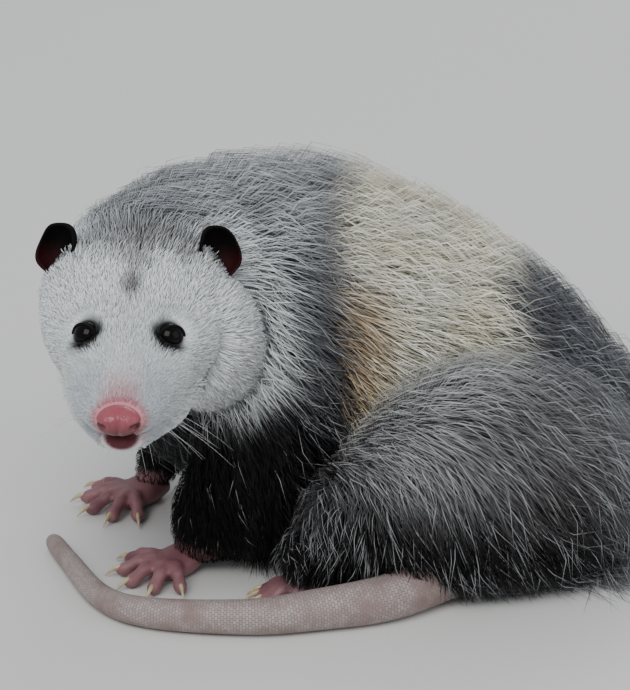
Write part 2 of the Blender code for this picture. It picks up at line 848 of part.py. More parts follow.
def main():
    clear_scene()
    head = build_head()
    nose = build_nose()
    eyes = [build_eye("eye_left", 1), build_eye("eye_right", -1)]
    ears = [build_ear("ear_left", 1), build_ear("ear_right", -1)]
    clear_of(head, [nose] + eyes + ears)

    feet, claws = [], []
    for build_foot in (build_forefoot, build_hindfoot):
        for side_name in ("left", "right"):
            foot, its_claws = build_foot(side_name)
            clear_of(foot, its_claws)
            feet.append(foot)
            claws += its_claws

    tail = build_tail()
    nape = head_point(0, NAPE_CUT, 0)
    ahead = head_axes()[1]
    cut_plane(head, nape, -ahead)
    neck = fuse("neck", [tube("neck", core_rows(NECK_ROWS))], 3.0, 400, FUR_GREY)
    cut_plane(neck, nape - ahead * GAP, ahead)
    torso = fuse("torso", [tube("trunk", core_rows(TORSO_ROWS))], 3.5, 560, FUR_CREAM)
    legs = []
    leg_rows = (
        ("foreleg_left", FORELEG_LEFT_ROWS, (1, 0, 0.2), FUR_BLACK),
        ("foreleg_right", FORELEG_RIGHT_ROWS, (1, 0, 0.2), FUR_BLACK),
        ("hindleg_left", HINDLEG_LEFT_ROWS, UP, FUR_GREY),
        ("hindleg_right", HINDLEG_RIGHT_ROWS, UP, FUR_GREY),
    )
    for name, rows, up, kind in leg_rows:
        legs.append(fuse(name, [tube("limb", core_rows(rows), up=up)], 3.0, 300, kind))

    furred = [neck, torso] + legs
    surfaces = {node.name: surface_of(node) for node in furred + [head] + ears}

    def clear(own, margin, low):
        """The test that a lock's root is out of the other parts, and its end out of the legs."""
        others = [
            (other, "leg" in name) for name, other in surfaces.items() if name != own
        ]

        def keep(point, end):
            if point.z < low * MM:
                return False
            return not any(
                holds(other, point, margin) or (hidden and holds(other, end, 0.0))
                for other, hidden in others
            )

        return keep

    coats = {
        neck: ("neck", neck_lie, clear("neck", 3.0, 60.0)),
        torso: ("torso", trunk_lie, clear("torso", 1.0, 45.0)),
    }
    for leg in legs[2:] + legs[:2]:
        kind = leg.name.split("_")[0]
        lie = foreleg_lie if kind == "foreleg" else hindleg_lie
        coats[leg] = (kind, lie, clear(leg.name, 2.0, 22.0))
    bare = {
        neck: [head] + ears,
        torso: [head] + tail[:2] + feet,
        legs[0]: [head, feet[0]] + claws[:5],
        legs[1]: [feet[1]] + claws[5:10],
        legs[2]: [feet[2]] + claws[10:14] + tail[:3],
        legs[3]: [feet[3]] + claws[14:],
    }
    room = []
    for node, coat in coats.items():
        own = add_locks(node, *coat)
        if node in legs:
            flatten_on_floor(node)
        clear_of(node, bare[node], room)
        room += own
    for each in room:
        bpy.data.objects.remove(each)
    nodes = [head, nose, neck, torso] + eyes + ears + legs + feet + claws + tail
    centre_on_floor(nodes)


main()
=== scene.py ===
import math

import bmesh
import bpy
import numpy as np
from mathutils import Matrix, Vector
from mathutils.kdtree import KDTree


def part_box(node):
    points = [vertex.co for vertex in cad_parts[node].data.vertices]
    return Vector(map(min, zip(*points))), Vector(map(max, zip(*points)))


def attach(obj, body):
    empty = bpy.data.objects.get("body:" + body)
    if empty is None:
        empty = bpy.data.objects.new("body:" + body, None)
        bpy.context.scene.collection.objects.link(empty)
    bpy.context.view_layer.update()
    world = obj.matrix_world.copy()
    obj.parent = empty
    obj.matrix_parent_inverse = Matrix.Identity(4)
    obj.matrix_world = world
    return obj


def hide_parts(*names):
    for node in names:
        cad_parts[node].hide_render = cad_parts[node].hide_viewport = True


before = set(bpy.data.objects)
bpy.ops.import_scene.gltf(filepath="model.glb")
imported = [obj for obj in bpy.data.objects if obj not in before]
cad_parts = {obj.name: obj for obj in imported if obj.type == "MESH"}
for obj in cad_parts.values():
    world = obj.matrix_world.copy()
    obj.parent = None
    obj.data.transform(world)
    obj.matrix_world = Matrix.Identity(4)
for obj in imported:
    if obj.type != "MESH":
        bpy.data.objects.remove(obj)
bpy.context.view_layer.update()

# The animal's pose. An opossum crouches with its chest to the left, its rump to the right and its
# head turned out over its left shoulder. Its shapes are given in millimetres in a frame of the
# pose: +X runs from chest to rump, -Y is its left side and +Z is up from the floor.
MM = 0.001
UP = np.array((0.0, 0.0, 1.0))
HEAD_AT = np.array((-80.0, -95.0, 133.0))
HEAD_YAW = math.radians(3.0)
HEAD_PITCH = math.radians(1.0)
EYE_AT = np.array((17.4, 1.0, -1.0))


def unit(ways):
    ways = np.asarray(ways, float)
    return ways / np.maximum(np.linalg.norm(ways, axis=-1, keepdims=True), 1e-9)


HEAD_LEFT = np.array((math.cos(HEAD_YAW), -math.sin(HEAD_YAW), 0.0))
HEAD_AHEAD = np.array((-math.sin(HEAD_YAW), -math.cos(HEAD_YAW), 0.0)) * math.cos(HEAD_PITCH)
HEAD_AHEAD = HEAD_AHEAD - UP * math.sin(HEAD_PITCH)
HEAD_AXES = np.array((HEAD_LEFT, HEAD_AHEAD, np.cross(HEAD_AHEAD, HEAD_LEFT)))


def from_head(points):
    """Points given as left, ahead and above the middle of the eyes, as points of the pose."""
    return HEAD_AT + np.asarray(points, float) @ HEAD_AXES


def to_head(points):
    return (np.asarray(points, float) - HEAD_AT) @ HEAD_AXES.T


def mirrored(point, side):
    return np.asarray(point, float) * (side, 1.0, 1.0)


eye_box = np.array(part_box("eye_left"))
SHIFT = eye_box.mean(axis=0) - from_head(EYE_AT) * MM


# Markings of skin and coat, with painted shade. The face is white with black round the eyes, the
# crown and shoulders are grey, a brown-black band crosses the shoulder down to the black forelegs,
# the flank is cream and the haunches are grey, darker below. Painted shade greys the sides of the
# muzzle and darkens the crease of the mouth. Skin and tufts take their colour from this one rule.
def linear(hex_colour):
    """An sRGB hex colour as linear red, green and blue."""
    parts = [int(hex_colour[k:k + 2], 16) / 255 for k in (1, 3, 5)]
    return np.array([v / 12.92 if v < 0.04045 else ((v + 0.055) / 1.055) ** 2.4 for v in parts])


def ramp(value, low, high):
    """0 below low, 1 above high, with a soft step between."""
    t = np.clip((value - low) / (high - low), 0.0, 1.0)
    return t * t * (3 - 2 * t)


def fading(value, low, high):
    """1 below low, 0 above high."""
    return 1 - ramp(value, low, high)


def mixed(a, b, share):
    """One colour passing into another, by the share of it at each place."""
    return a + (b - a) * np.asarray(share)[..., None]


def waves(points, size, seed):
    """A smooth pattern from 0 to 1 with bumps about so many millimetres across."""
    rng = np.random.default_rng(seed)
    total = np.zeros(len(points))
    for _ in range(9):
        way = unit(rng.normal(size=3)) * math.tau / (size * rng.uniform(1.4, 3.2))
        total += np.sin(points @ way + rng.uniform(0, math.tau))
    return 0.5 + total / 9


WHITE = linear("#f3f7f9")
FACE_PAINTED_SHADE = linear("#c6cbd2")
SOOT = linear("#080707")
GREY = linear("#94969a")
PALE_GREY = linear("#d3d5d6")
DARK_GREY = linear("#45464c")
BROWN_BLACK = linear("#1b1819")
CREAM = linear("#e9e2ca")
PALE_CREAM = linear("#f2eee2")
TAN = linear("#a9814f")
PINK = linear("#c9808a")
LIP_RED = linear("#541b21")
SPOT_BROWN = linear("#574d49")
HAUNCH_BROWN = linear("#544e50")
LEG_BLACK = linear("#120f10")


# Places of the head's markings: left of, ahead of and above the middle of the eyes. The line
# between the lips runs from under the nose back along the muzzle to its corner.
MOUTH_CORNER = np.array((14.0, -25.5))
MOUTH_FRONT = np.array((49.0, -28.8))
NOSE_AT = (0.0, 50.0, -17.5)
NOSE_RIM_SIZE = (11.5, 8.0, 8.8)
LIPS_ABOVE = -29.5
LIPS_HALF_WIDTH = 9.0
LIPS_HALF_HEIGHT = 6.5
EYE_PATCH_AT = (16.4, 3.2, -1.7)
EYE_PATCH_SIZE = (8.4, 10.8, 9.8)
SPOT_AHEAD = -15.0
SPOT_HALF_WIDTH = 6.5
SPOT_HALF_LENGTH = 10.5
EAR_FUR_AT = (40.0, 47.0, 16.0)
# Where bands of the trunk begin, in millimetres back from the middle of the pose.
BAND_START = -14.0
CREAM_START = 10.0
RUMP_START = 74.0


def lip_height(ahead):
    """How high the line between the lips runs, so far ahead of the eyes."""
    share = (ahead - MOUTH_CORNER[0]) / (MOUTH_FRONT - MOUTH_CORNER)[0]
    return MOUTH_CORNER[1] + share * (MOUTH_FRONT - MOUTH_CORNER)[1]


def face_colour(head):
    """The head's colour from left, ahead and above."""
    left, ahead, above = head.T
    side = np.abs(left)
    # The sides of the muzzle are greyed to a bluish tone with painted shade.
    colour = mixed(WHITE, FACE_PAINTED_SHADE, ramp(ahead, 12, 34) * ramp(side, 4, 12) * 0.7)
    # Pink skin shows through the short hair of the bridge and round the pad of the nose.
    pink = ramp(ahead, 20, 47) * fading(side, 4, 12) * ramp(above, -27, -20)
    colour = mixed(colour, PINK, pink * 0.65)
    round_pad = np.linalg.norm((head - NOSE_AT) / NOSE_RIM_SIZE, axis=1)
    colour = mixed(colour, PINK, fading(round_pad, 0.95, 1.3) * 0.9)
    throat = ramp(-above, 34, 52) * ramp(-ahead, -30, -5)
    colour = mixed(colour, PALE_GREY, throat * 0.8)
    # Bare red skin of the lips under the nose, with a dark line of painted shade in the crease between
    # them.
    lips = np.hypot(left / LIPS_HALF_WIDTH, (above - LIPS_ABOVE) / LIPS_HALF_HEIGHT)
    colour = mixed(colour, PINK, ramp(ahead, 30, 38) * fading(lips, 0.8, 1.4) * 0.45)
    colour = mixed(colour, LIP_RED, ramp(ahead, 36, 40) * fading(lips, 0.7, 1.0))
    line = fading(np.abs(above - lip_height(ahead)), 0.5, 1.3)
    colour = mixed(colour, SOOT, line * ramp(ahead, 15, 24) * (0.45 + 0.4 * ramp(ahead, 34, 40)))
    # Black round each eye, drawn out towards the nose.
    patch = (np.column_stack([side, ahead, above]) - EYE_PATCH_AT) / EYE_PATCH_SIZE
    near = np.linalg.norm(patch, axis=1)
    colour = mixed(colour, SOOT, fading(near, 0.72, 1.22))
    # The spot of the forehead and the stripe that joins it to the cap between the ears.
    ragged = (waves(head, 7, 17) - 0.5) * 8
    spot = np.hypot(left / SPOT_HALF_WIDTH, (ahead - SPOT_AHEAD) / SPOT_HALF_LENGTH)
    spot = spot + ramp(-above, -12, -6) * 3
    colour = mixed(colour, SPOT_BROWN, fading(spot, 0.2, 1.15) * 0.75)
    stripe = np.abs(left + ragged * 0.4) / 9 + ramp(ahead, -28, -16) * 2
    colour = mixed(colour, SPOT_BROWN, fading(stripe, 0.2, 1.2) * 0.5)
    cap = ramp(-ahead + ragged, 30, 44) * ramp(above, 10, 17) * fading(side, 20, 31)
    salted = mixed(SPOT_BROWN, GREY, 0.3 + 0.5 * waves(head, 9, 19))
    return mixed(colour, salted, cap * 0.85)


def past(distance, start):
    """A band's soft edge, about as wide as its hairs are long."""
    return ramp(distance, start - 7, start + 8)


def trunk_colour(points):
    """The neck's, torso's and upper legs' colour, by how far back and how high they are."""
    x, y, z = points.T
    wander = (waves(points, 34, 3) - 0.5) * 16
    neck = mixed(PALE_GREY, WHITE, 0.35 * waves(points, 15, 4) + 0.5 * fading(y, -62, -34))
    ear_gap = np.linalg.norm(np.abs(to_head(points)) - EAR_FUR_AT, axis=1)
    crown = ramp(z, 138, 160) * fading(x, -10, 20)
    neck = mixed(neck, GREY, crown * (0.5 + 0.5 * waves(points, 12, 9)))
    neck = mixed(neck, WHITE, fading(ear_gap, 14, 27) * 0.85)
    low = fading(z + wander * 0.5, 74, 104)
    start = BAND_START - 22 * low + 8 * ramp(z, 140, 165)
    dark = mixed(DARK_GREY, GREY, 0.1 + 0.5 * ramp(z, 105, 155))
    dark = mixed(dark, BROWN_BLACK, fading(z, 62, 112))
    band = past(x + wander * 0.5, start)
    colour = mixed(neck, dark, np.maximum(band, low * 0.9))
    cream = mixed(CREAM, PALE_CREAM, waves(points, 20, 5))
    tan = fading(x, 8, 36) * fading(z, 122, 146) * ramp(z, 66, 100)
    cream = mixed(cream, TAN, tan * 0.75)
    start = CREAM_START - 8 * ramp(z, 135, 168)
    colour = mixed(colour, cream, past(x + wander * 0.6, start))
    rump = ramp(x + wander * 0.8 + (120 - z) * 0.3, RUMP_START, RUMP_START + 18)
    grey = mixed(DARK_GREY, GREY, 0.12 + 0.5 * waves(points, 18, 8))
    return mixed(colour, grey, rump)


def haunch_colour(points):
    x, _, z = points.T
    wander = (waves(points, 30, 11) - 0.5) * 22
    pale = mixed(DARK_GREY, PALE_GREY, 0.3 + 0.3 * waves(points, 22, 12))
    middle = mixed(HAUNCH_BROWN, GREY, 0.3 * waves(points, 16, 13))
    front = fading(x + wander * 0.5, 50, 95)
    colour = mixed(middle, pale, ramp(z + wander, 66, 100) * (0.45 + 0.55 * front))
    colour = mixed(colour, pale, front * ramp(z + wander, 40, 66) * 0.75)
    colour = mixed(BROWN_BLACK, colour, ramp(z + wander * 0.8, 37, 76))
    fringe = np.maximum(ramp(x, 112, 140), fading(z, 8, 18))
    return mixed(colour, GREY, fringe * 0.45)


def foreleg_colour(points):
    return mixed(BROWN_BLACK, LEG_BLACK, waves(points, 20, 14))


# The flesh. One skin runs over head, trunk, limbs and feet, with the tail, the ears and the nose
# sunk into it. Each part is lofted from rows of ovals, less the depth of its coat, and all are
# melted into one closed surface, whose face is then pressed into shape.
# Columns: x, y, z, half width, height above or in front, depth below or behind, depth of coat.
TORSO_ROWS = (
    (145, -38, 60, 12, 8, 20, 6),
    (137, -36, 58, 38, 15, 50, 16),
    (114, -27, 64, 58, 36, 64, 20),
    (82, -14, 70, 70, 62, 68, 22),
    (42, -2, 78, 75, 80, 74, 22),
    (-4, 2, 88, 76, 90, 80, 22),
    (-42, -4, 95, 68, 88, 72, 22),
    (-66, -18, 104, 56, 76, 56, 20),
    (-76, -32, 110, 42, 58, 44, 16),
)
NECK_ROWS = (
    (-46, -2, 104, 46, 60, 40, 14),
    (-62, -16, 114, 54, 66, 48, 20),
    (-74, -36, 124, 50, 51, 46, 18),
    (-79, -54, 130, 46, 38, 44, 12),
    (-80, -68, 131, 40, 24, 40, 8),
)
FORELEG_LEFT_ROWS = (
    (-34, -34, 92, 24, 24, 24, 10),
    (-30, -50, 72, 24, 26, 26, 12),
    (-34, -56, 50, 23, 36, 24, 9),
    (-46, -57, 30, 19, 32, 19, 5),
    (-54, -57, 15, 12, 18, 12, 2),
    (-59, -58, 8, 7, 6, 6, 1),
)
FORELEG_RIGHT_ROWS = (
    (-72, 22, 88, 24, 24, 24, 10),
    (-70, 34, 68, 22, 23, 24, 12),
    (-66, 34, 46, 18, 18, 19, 9),
    (-68, 24, 28, 13, 13, 14, 5),
    (-75, 16, 14, 10, 10, 10, 2),
    (-80, 13, 8, 7, 6, 6, 1),
)
HINDLEG_LEFT_ROWS = (
    (143, -44, 44, 16, 20, 46, 14),
    (126, -52, 52, 36, 34, 66, 20),
    (94, -62, 54, 46, 56, 74, 20),
    (62, -71, 50, 44, 64, 72, 18),
    (34, -77, 42, 34, 44, 54, 12),
    (11, -82, 30, 24, 27, 33, 8),
    (-5, -85, 22, 16, 13, 20, 5),
    (-14, -86, 16, 8, 7, 10, 2),
)
HINDLEG_RIGHT_ROWS = (
    (138, -20, 44, 16, 20, 46, 14),
    (121, -6, 52, 34, 40, 60, 20),
    (95, 14, 54, 44, 58, 63, 20),
    (66, 38, 50, 39, 60, 59, 18),
    (42, 54, 42, 30, 42, 48, 12),
    (22, 66, 30, 22, 27, 33, 8),
    (8, 74, 22, 15, 13, 20, 5),
    (0, 78, 16, 8, 7, 10, 2),
)
# Head rows: ahead and above the eyes, half width, height, depth, depth of coat.
SKULL_ROWS = (
    (50, -18.5, 9.0, 6.5, 6.0, 0.5),
    (44, -18.5, 14.0, 9.0, 9.0, 0.8),
    (34, -17.5, 19.5, 11.0, 12.0, 1.2),
    (20, -14.5, 24.5, 13.5, 17.5, 1.6),
    (6, -10.0, 29.5, 16.0, 24.0, 2.2),
    (-8, -6.5, 36.5, 20.0, 33.0, 3.2),
    (-24, -5.0, 41.5, 25.5, 41.0, 4.5),
    (-42, -4.0, 44.0, 31.0, 44.0, 6.0),
    (-58, -3.0, 44.0, 36.0, 42.0, 8.0),
    (-72, -2.0, 36.0, 30.0, 34.0, 9.0),
)
JAW_ROWS = (
    (43, -33.0, 5.0, 3.0, 3.0, 0.3),
    (39, -32.5, 10.0, 5.0, 5.5, 0.6),
    (28, -31.0, 16.0, 7.0, 9.0, 1.0),
    (12, -28.0, 22.0, 10.0, 15.0, 2.0),
    (-8, -26.0, 32.0, 13.0, 22.0, 4.0),
)
JOWL_AT = (29.0, -33.0, -19.0)
JOWL_SIZE = (28.0, 27.0, 33.0)
JOWL_COAT = 7.0


def through(rows, steps):
    """Rows along a smooth curve through the given ones, with so many steps to each span."""
    rows = np.array(rows, float)
    padded = np.vstack([2 * rows[0] - rows[1], rows, 2 * rows[-1] - rows[-2]])
    found = []
    for a, b, c, d in zip(padded, padded[1:], padded[2:], padded[3:]):
        for t in np.arange(steps) / steps:
            line = 2 * b + (c - a) * t
            bend = (2 * a - 5 * b + 4 * c - d) * t**2 + (3 * b - a - 3 * c + d) * t**3
            found.append((line + bend) / 2)
    found.append(rows[-1])
    return np.array(found)


def mesh_object(name, points, faces):
    """A mesh object from points of the pose in millimetres."""
    data = bpy.data.meshes.new(name)
    data.from_pydata((np.asarray(points) * MM + SHIFT).tolist(), [], faces)
    made = bpy.data.objects.new(name, data)
    bpy.context.scene.collection.objects.link(made)
    return made


def oval_ring(centre, along, up, width, above, below, sides):
    side = unit(np.cross(along, up))
    top = np.cross(side, along)
    angle = np.arange(sides) * math.tau / sides
    high = np.where(np.sin(angle) > 0, above, below)
    return centre + side * (width * np.cos(angle))[:, None] + top * (high * np.sin(angle))[:, None]


def ring_faces(rings, sides, closed=False):
    """Quads between rings of points, with flat ends, or with the last joined to the first."""
    faces = []
    for r in range(rings if closed else rings - 1):
        low, high = r * sides, (r + 1) % rings * sides
        for k in range(sides):
            n = (k + 1) % sides
            faces.append((low + k, low + n, high + n, high + k))
    if not closed:
        faces.append(tuple(range(sides))[::-1])
        faces.append(tuple(range((rings - 1) * sides, rings * sides)))
    return faces


def tube(name, rows, sides=32, steps=6, up=UP):
    """A closed tube of oval rings: x, y, z, half width, height above, depth below."""
    rows = through(rows, steps)
    ways = unit(np.gradient(rows[:, :3], axis=0))
    rings = [
        oval_ring(row[:3], way, up, *row[3:6], sides) for row, way in zip(rows, ways)
    ]
    return mesh_object(name, np.vstack(rings), ring_faces(len(rings), sides))


def bare(rows):
    """Rows less their depth of coat."""
    rows = np.array(rows, float)
    rows[:, -4:-1] -= rows[:, -1:]
    return rows[:, :-1]


def head_tube(name, rows):
    rows = bare(rows)
    places = from_head(np.column_stack([np.zeros(len(rows)), rows[:, 0], rows[:, 1]]))
    return tube(name, np.hstack([places, rows[:, 2:]]))


def select_only(*objects):
    bpy.ops.object.select_all(action="DESELECT")
    for each in objects:
        each.select_set(True)
    bpy.context.view_layer.objects.active = objects[0]


def ball(name, centre, sizes, axes=np.eye(3), rings=24):
    """A round primitive drawn out along its own three axes."""
    bpy.ops.mesh.primitive_uv_sphere_add(segments=rings * 2, ring_count=rings, radius=1.0)
    made = bpy.context.object
    made.name = name
    points = positions(made) * np.asarray(sizes) @ np.asarray(axes) + centre
    move_to(made, points * MM + SHIFT)
    return made


def positions(piece):
    found = np.empty(len(piece.data.vertices) * 3, np.float32)
    piece.data.vertices.foreach_get("co", found)
    return found.reshape(-1, 3).astype(float)


def move_to(piece, places):
    piece.data.vertices.foreach_set("co", np.asarray(places, np.float32).ravel())
    piece.data.update()


def flat_way(degrees):
    angle = math.radians(degrees)
    return np.array((math.cos(angle), math.sin(angle), 0.0))


# Feet: where the wrist or heel stands, the way the foot points, and how its toes fan out.
FOREFEET = {"left": ((-57.0, -56.0), 222.0), "right": ((-76.0, 15.0), 216.0)}
HINDFEET = {"left": ((40.0, -73.0), 195.0), "right": ((66.0, 74.0), 166.0)}
FORE_TOES = (-68.0, -34.0, -4.0, 26.0, 60.0)
FORE_TOE_LENGTHS = (14.0, 17.0, 18.5, 17.5, 14.0)
FORE_PALM_LENGTH = 15.0
HIND_TOES = (-14.0, -2.0, 10.0, 22.0)
HIND_TOE_LENGTHS = (13.0, 15.0, 15.5, 14.5)
HIND_THUMB = -64.0
HIND_PALM_LENGTH = 52.0
TOE_RADIUS = 3.4
# Along a toe: share of its length, height of its middle, share of its thickness.
TOE_ROWS = (
    (-0.3, 6.0, 0.95), (0.12, 7.8, 1.02), (0.34, 7.5, 0.9), (0.5, 7.1, 0.98), (0.68, 5.6, 0.84),
    (0.84, 4.0, 0.98), (1.0, 3.3, 0.86),
)


def toes_of(place, palm, fan, lengths):
    """Base, heading and length of each toe, set round the front of the palm."""
    (x, y), heading = place
    found = []
    for degrees, length in zip(fan, lengths):
        spread = math.radians(degrees * 0.9)
        base = np.array((x, y, 0.0)) + flat_way(heading) * (palm - 4 + 4 * math.cos(spread))
        base = base + flat_way(heading + 90) * 8.0 * math.sin(spread)
        found.append((base, heading + degrees, length))
    return found


def toe(base, degrees, length, radius):
    """A plump toe that rises from the palm, bends at its joints and ends in a pad."""
    way = flat_way(degrees)
    rows = []
    for share, high, thick in TOE_ROWS:
        rows.append((*(base + way * length * share + UP * high), *(radius * thick,) * 3))
    rows.append((*(base + way * (length + 2.2) + UP * 2.8), *(radius * 0.35,) * 3))
    return tube("toe", rows, sides=16, steps=3)


def palm(place, rows):
    (x, y), heading = place
    heel = np.array((x, y, 0.0))
    rows = [
        (*(heel + flat_way(heading) * reach + UP * high), wide, tall, tall)
        for reach, high, wide, tall in rows
    ]
    return tube("palm", rows, sides=24)


# Palm and sole rows: reach from the wrist or heel, height, half width, half thickness.
FORE_PALM = (
    (-7, 6.5, 5.5, 5.0), (0, 6.5, 8.5, 6.5), (8, 5.5, 10.5, 6.0), (15, 5.0, 10.0, 5.2),
    (19, 4.5, 6.0, 3.5),
)
HIND_SOLE = (
    (-8, 8.0, 5.0, 5.0), (0, 8.5, 8.0, 8.0), (18, 7.5, 9.0, 7.8),
    (38, 6.0, 11.5, 6.8), (50, 5.2, 11.0, 5.6), (56, 4.6, 7.0, 4.0),
)
toe_rows = {}
flesh = [
    tube("trunk", bare(TORSO_ROWS)),
    tube("neck_flesh", bare(NECK_ROWS)),
    tube("limb", bare(FORELEG_LEFT_ROWS), up=(1, 0, 0.2)),
    tube("limb", bare(FORELEG_RIGHT_ROWS), up=(1, 0, 0.2)),
    tube("limb", bare(HINDLEG_LEFT_ROWS)),
    tube("limb", bare(HINDLEG_RIGHT_ROWS)),
    head_tube("skull", SKULL_ROWS),
    head_tube("jaw", JAW_ROWS),
    ball("jowl", from_head(JOWL_AT), np.array(JOWL_SIZE) - JOWL_COAT, HEAD_AXES),
]
for side, place in FOREFEET.items():
    toe_rows["fore", side] = toes_of(place, FORE_PALM_LENGTH, FORE_TOES, FORE_TOE_LENGTHS)
    flesh.append(palm(place, FORE_PALM))
    flesh += [toe(*row, TOE_RADIUS) for row in toe_rows["fore", side]]
for side, place in HINDFEET.items():
    mirror = 1 if side == "left" else -1
    fan = [degrees * mirror for degrees in HIND_TOES]
    toe_rows["hind", side] = toes_of(place, HIND_PALM_LENGTH, fan, HIND_TOE_LENGTHS)
    flesh.append(palm(place, HIND_SOLE))
    flesh += [toe(*row, TOE_RADIUS * 0.95) for row in toe_rows["hind", side]]
    (heel_x, heel_y), heading = place
    root = np.array((heel_x, heel_y, 0.0)) + flat_way(heading) * 36
    root = root + flat_way(heading - 90 * mirror) * 6
    flesh.append(toe(root, heading + HIND_THUMB * mirror, 15.0, TOE_RADIUS * 1.05))


def melted(name, pieces, voxel):
    """Melts overlapping pieces into one smooth closed surface."""
    select_only(*pieces)
    bpy.ops.object.join()
    made = bpy.context.object
    made.name = name
    melt = made.modifiers.new("Melt", "REMESH")
    melt.mode = "VOXEL"
    melt.voxel_size = voxel * MM
    bpy.ops.object.modifier_apply(modifier="Melt")
    relax = made.modifiers.new("Relax", "SMOOTH")
    relax.factor = 0.5
    relax.iterations = 4
    bpy.ops.object.modifier_apply(modifier="Relax")
    return made


def pose_points(piece):
    return (positions(piece) - SHIFT) / MM


# The trunk and limbs carry deep fur, so their skin is coarser than that of face and feet.
TRUNK_VOXEL = 2.4
FURRED_PIECES = 6
FACE_VOXEL = 1.15
trunk_skin = melted("skin", flesh[:FURRED_PIECES], TRUNK_VOXEL)
skin = melted("face_and_feet", flesh[FURRED_PIECES:], FACE_VOXEL)


def press(head, at, radii, way):
    """Moves the face near a point by a way given in the head's own frame."""
    near = np.exp(-(((head - at) / radii) ** 2).sum(axis=1))
    return head + near[:, None] * np.asarray(way, float)


face = to_head(pose_points(skin))
for side in (1, -1):
    # The hollow of the eye, the brow, the pad of the whiskers, the side of the bridge, the cheek.
    eye = mirrored(EYE_AT, side)
    face = press(face, eye + (0, 4, -2), (8, 8, 8), mirrored((-1.0, -3.0, -0.4), side))
    face = press(face, eye + mirrored((-2, 0, 11), side), (9, 9, 5), (0, 1.2, 0.6))
    face = press(face, mirrored((13, 33, -21), side), (7, 9, 6), mirrored((1.6, 0.6, 0), side))
    face = press(face, mirrored((9, 18, -6), side), (6, 10, 7), mirrored((-1.2, 0, -0.6), side))
    face = press(face, mirrored((20, 14, -30), side), (9, 15, 10), mirrored((3.4, 0, -2.4), side))
face = press(face, (0, 30, -8), (7, 16, 5), (0, 0, 1.0))


def lip_depth(head, width):
    """1 on the line between the lips, falling to 0 at the width given from it."""
    off = np.abs(head[:, 2] - lip_height(head[:, 1])) / width
    return fading(off, 0.2, 1.0) * ramp(head[:, 1], 12, 18)


centre_line = np.column_stack([np.zeros(len(face)), face[:, 1] - 8.0, np.full(len(face), -26.0)])
inward = unit(centre_line - face)
face = face + inward * (lip_depth(face, 2.6) * 2.6)[:, None]
move_to(skin, from_head(face) * MM + SHIFT)
trunk_count = len(trunk_skin.data.vertices)
select_only(trunk_skin, skin)
bpy.ops.object.join()
skin = bpy.context.object
grounded = pose_points(skin)
grounded[:, 2] = np.maximum(grounded[:, 2], 0.0)
move_to(skin, grounded * MM + SHIFT)

# Eyes. Each is a wet black ball, set into the face and ringed by a thin rim of dark lid, which
# follows the ball.
EYE_RADIUS = 6.4
EYE_LOOK = (0.45, 0.85, 0.28)


def wire(material, node, links):
    """Links outputs into the named inputs of a node."""
    for name, source in links.items():
        material.node_tree.links.new(source, node.inputs[name])


def add(material, kind, links=None, **settings):
    """Adds one node to a material, with its settings, and links into its named inputs."""
    node = material.node_tree.nodes.new(kind)
    for name, value in settings.items():
        if name in node.inputs:
            node.inputs[name].default_value = value
        else:
            setattr(node, name, value)
    wire(material, node, links or {})
    return node


def new_material(name, roughness, **settings):
    """A material and its shader, with constants on the shader's own sockets."""
    made = bpy.data.materials.new(name)
    made.use_nodes = True
    shader = made.node_tree.nodes["Principled BSDF"]
    shader.inputs["Roughness"].default_value = roughness
    for name, value in settings.items():
        shader.inputs[name.replace("_", " ")].default_value = value
    return made, shader


def give_colours(piece, colours):
    """Stores a colour at each point of a piece, which its material reads."""
    layer = piece.data.color_attributes.new("marking_and_painted_shade", "FLOAT_COLOR", "POINT")
    values = np.column_stack([colours, np.ones(len(colours))])
    layer.data.foreach_set("color", values.astype(np.float32).ravel())


def rgba(hex_colour):
    return (*linear(hex_colour), 1.0)


cornea, shader = new_material("wet cornea over a black iris", 0.04, Specular_IOR_Level=0.14)
place = add(cornea, "ShaderNodeTexCoord")
speckle = add(cornea, "ShaderNodeTexNoise", {"Vector": place.outputs["Object"]}, Scale=400.0)
tint = add(
    cornea, "ShaderNodeMix", {"Factor": speckle.outputs["Fac"]}, data_type="RGBA",
    A=rgba("#050404"), B=rgba("#0d0805"),
)
wire(cornea, shader, {"Base Color": tint.outputs["Result"]})

for name, side in (("left", 1), ("right", -1)):
    eye = ball(f"eyeball_{name}", from_head(mirrored(EYE_AT, side)), (EYE_RADIUS,) * 3, rings=32)
    eye.data.materials.append(cornea)
    bpy.ops.object.shade_smooth()
    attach(eye, "root")
    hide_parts(f"eye_{name}")


LID_REACH = 6.75
LID_HALF_WIDTH = 5.9
LID_HALF_HEIGHT = 5.2


def lid(name, side):
    """A rim of flesh that follows the ball round the opening of the eye."""
    centre = from_head(mirrored(EYE_AT, side))
    look = unit(mirrored(EYE_LOOK, side) @ HEAD_AXES)
    across = unit(np.cross(look, UP)) * side
    high = np.cross(across, look) * side
    if high @ UP < 0:
        high = -high
    angles = np.linspace(0, math.tau, 49)[:-1]
    points = []
    for angle in angles:
        wide, tall = math.cos(angle), math.sin(angle)
        spread = across * wide * LID_HALF_WIDTH + high * tall * LID_HALF_HEIGHT
        forward = math.sqrt(max(0.0, LID_REACH**2 - (spread @ spread)))
        points.append(centre + spread + look * forward)
    points = np.array(points)
    ways = unit(np.roll(points, -1, axis=0) - np.roll(points, 1, axis=0))
    rings = [oval_ring(point, way, look, 0.6, 0.3, 1.2, 12) for point, way in zip(points, ways)]
    made = mesh_object(name, np.vstack(rings), ring_faces(len(rings), 12, closed=True))
    recalculate(made)
    return made


def recalculate(piece):
    """Turns the faces of a closed mesh outwards."""
    mesh = bmesh.new()
    mesh.from_mesh(piece.data)
    bmesh.ops.recalc_face_normals(mesh, faces=mesh.faces)
    mesh.to_mesh(piece.data)
    mesh.free()


lids = [lid("lid", 1), lid("lid", -1)]

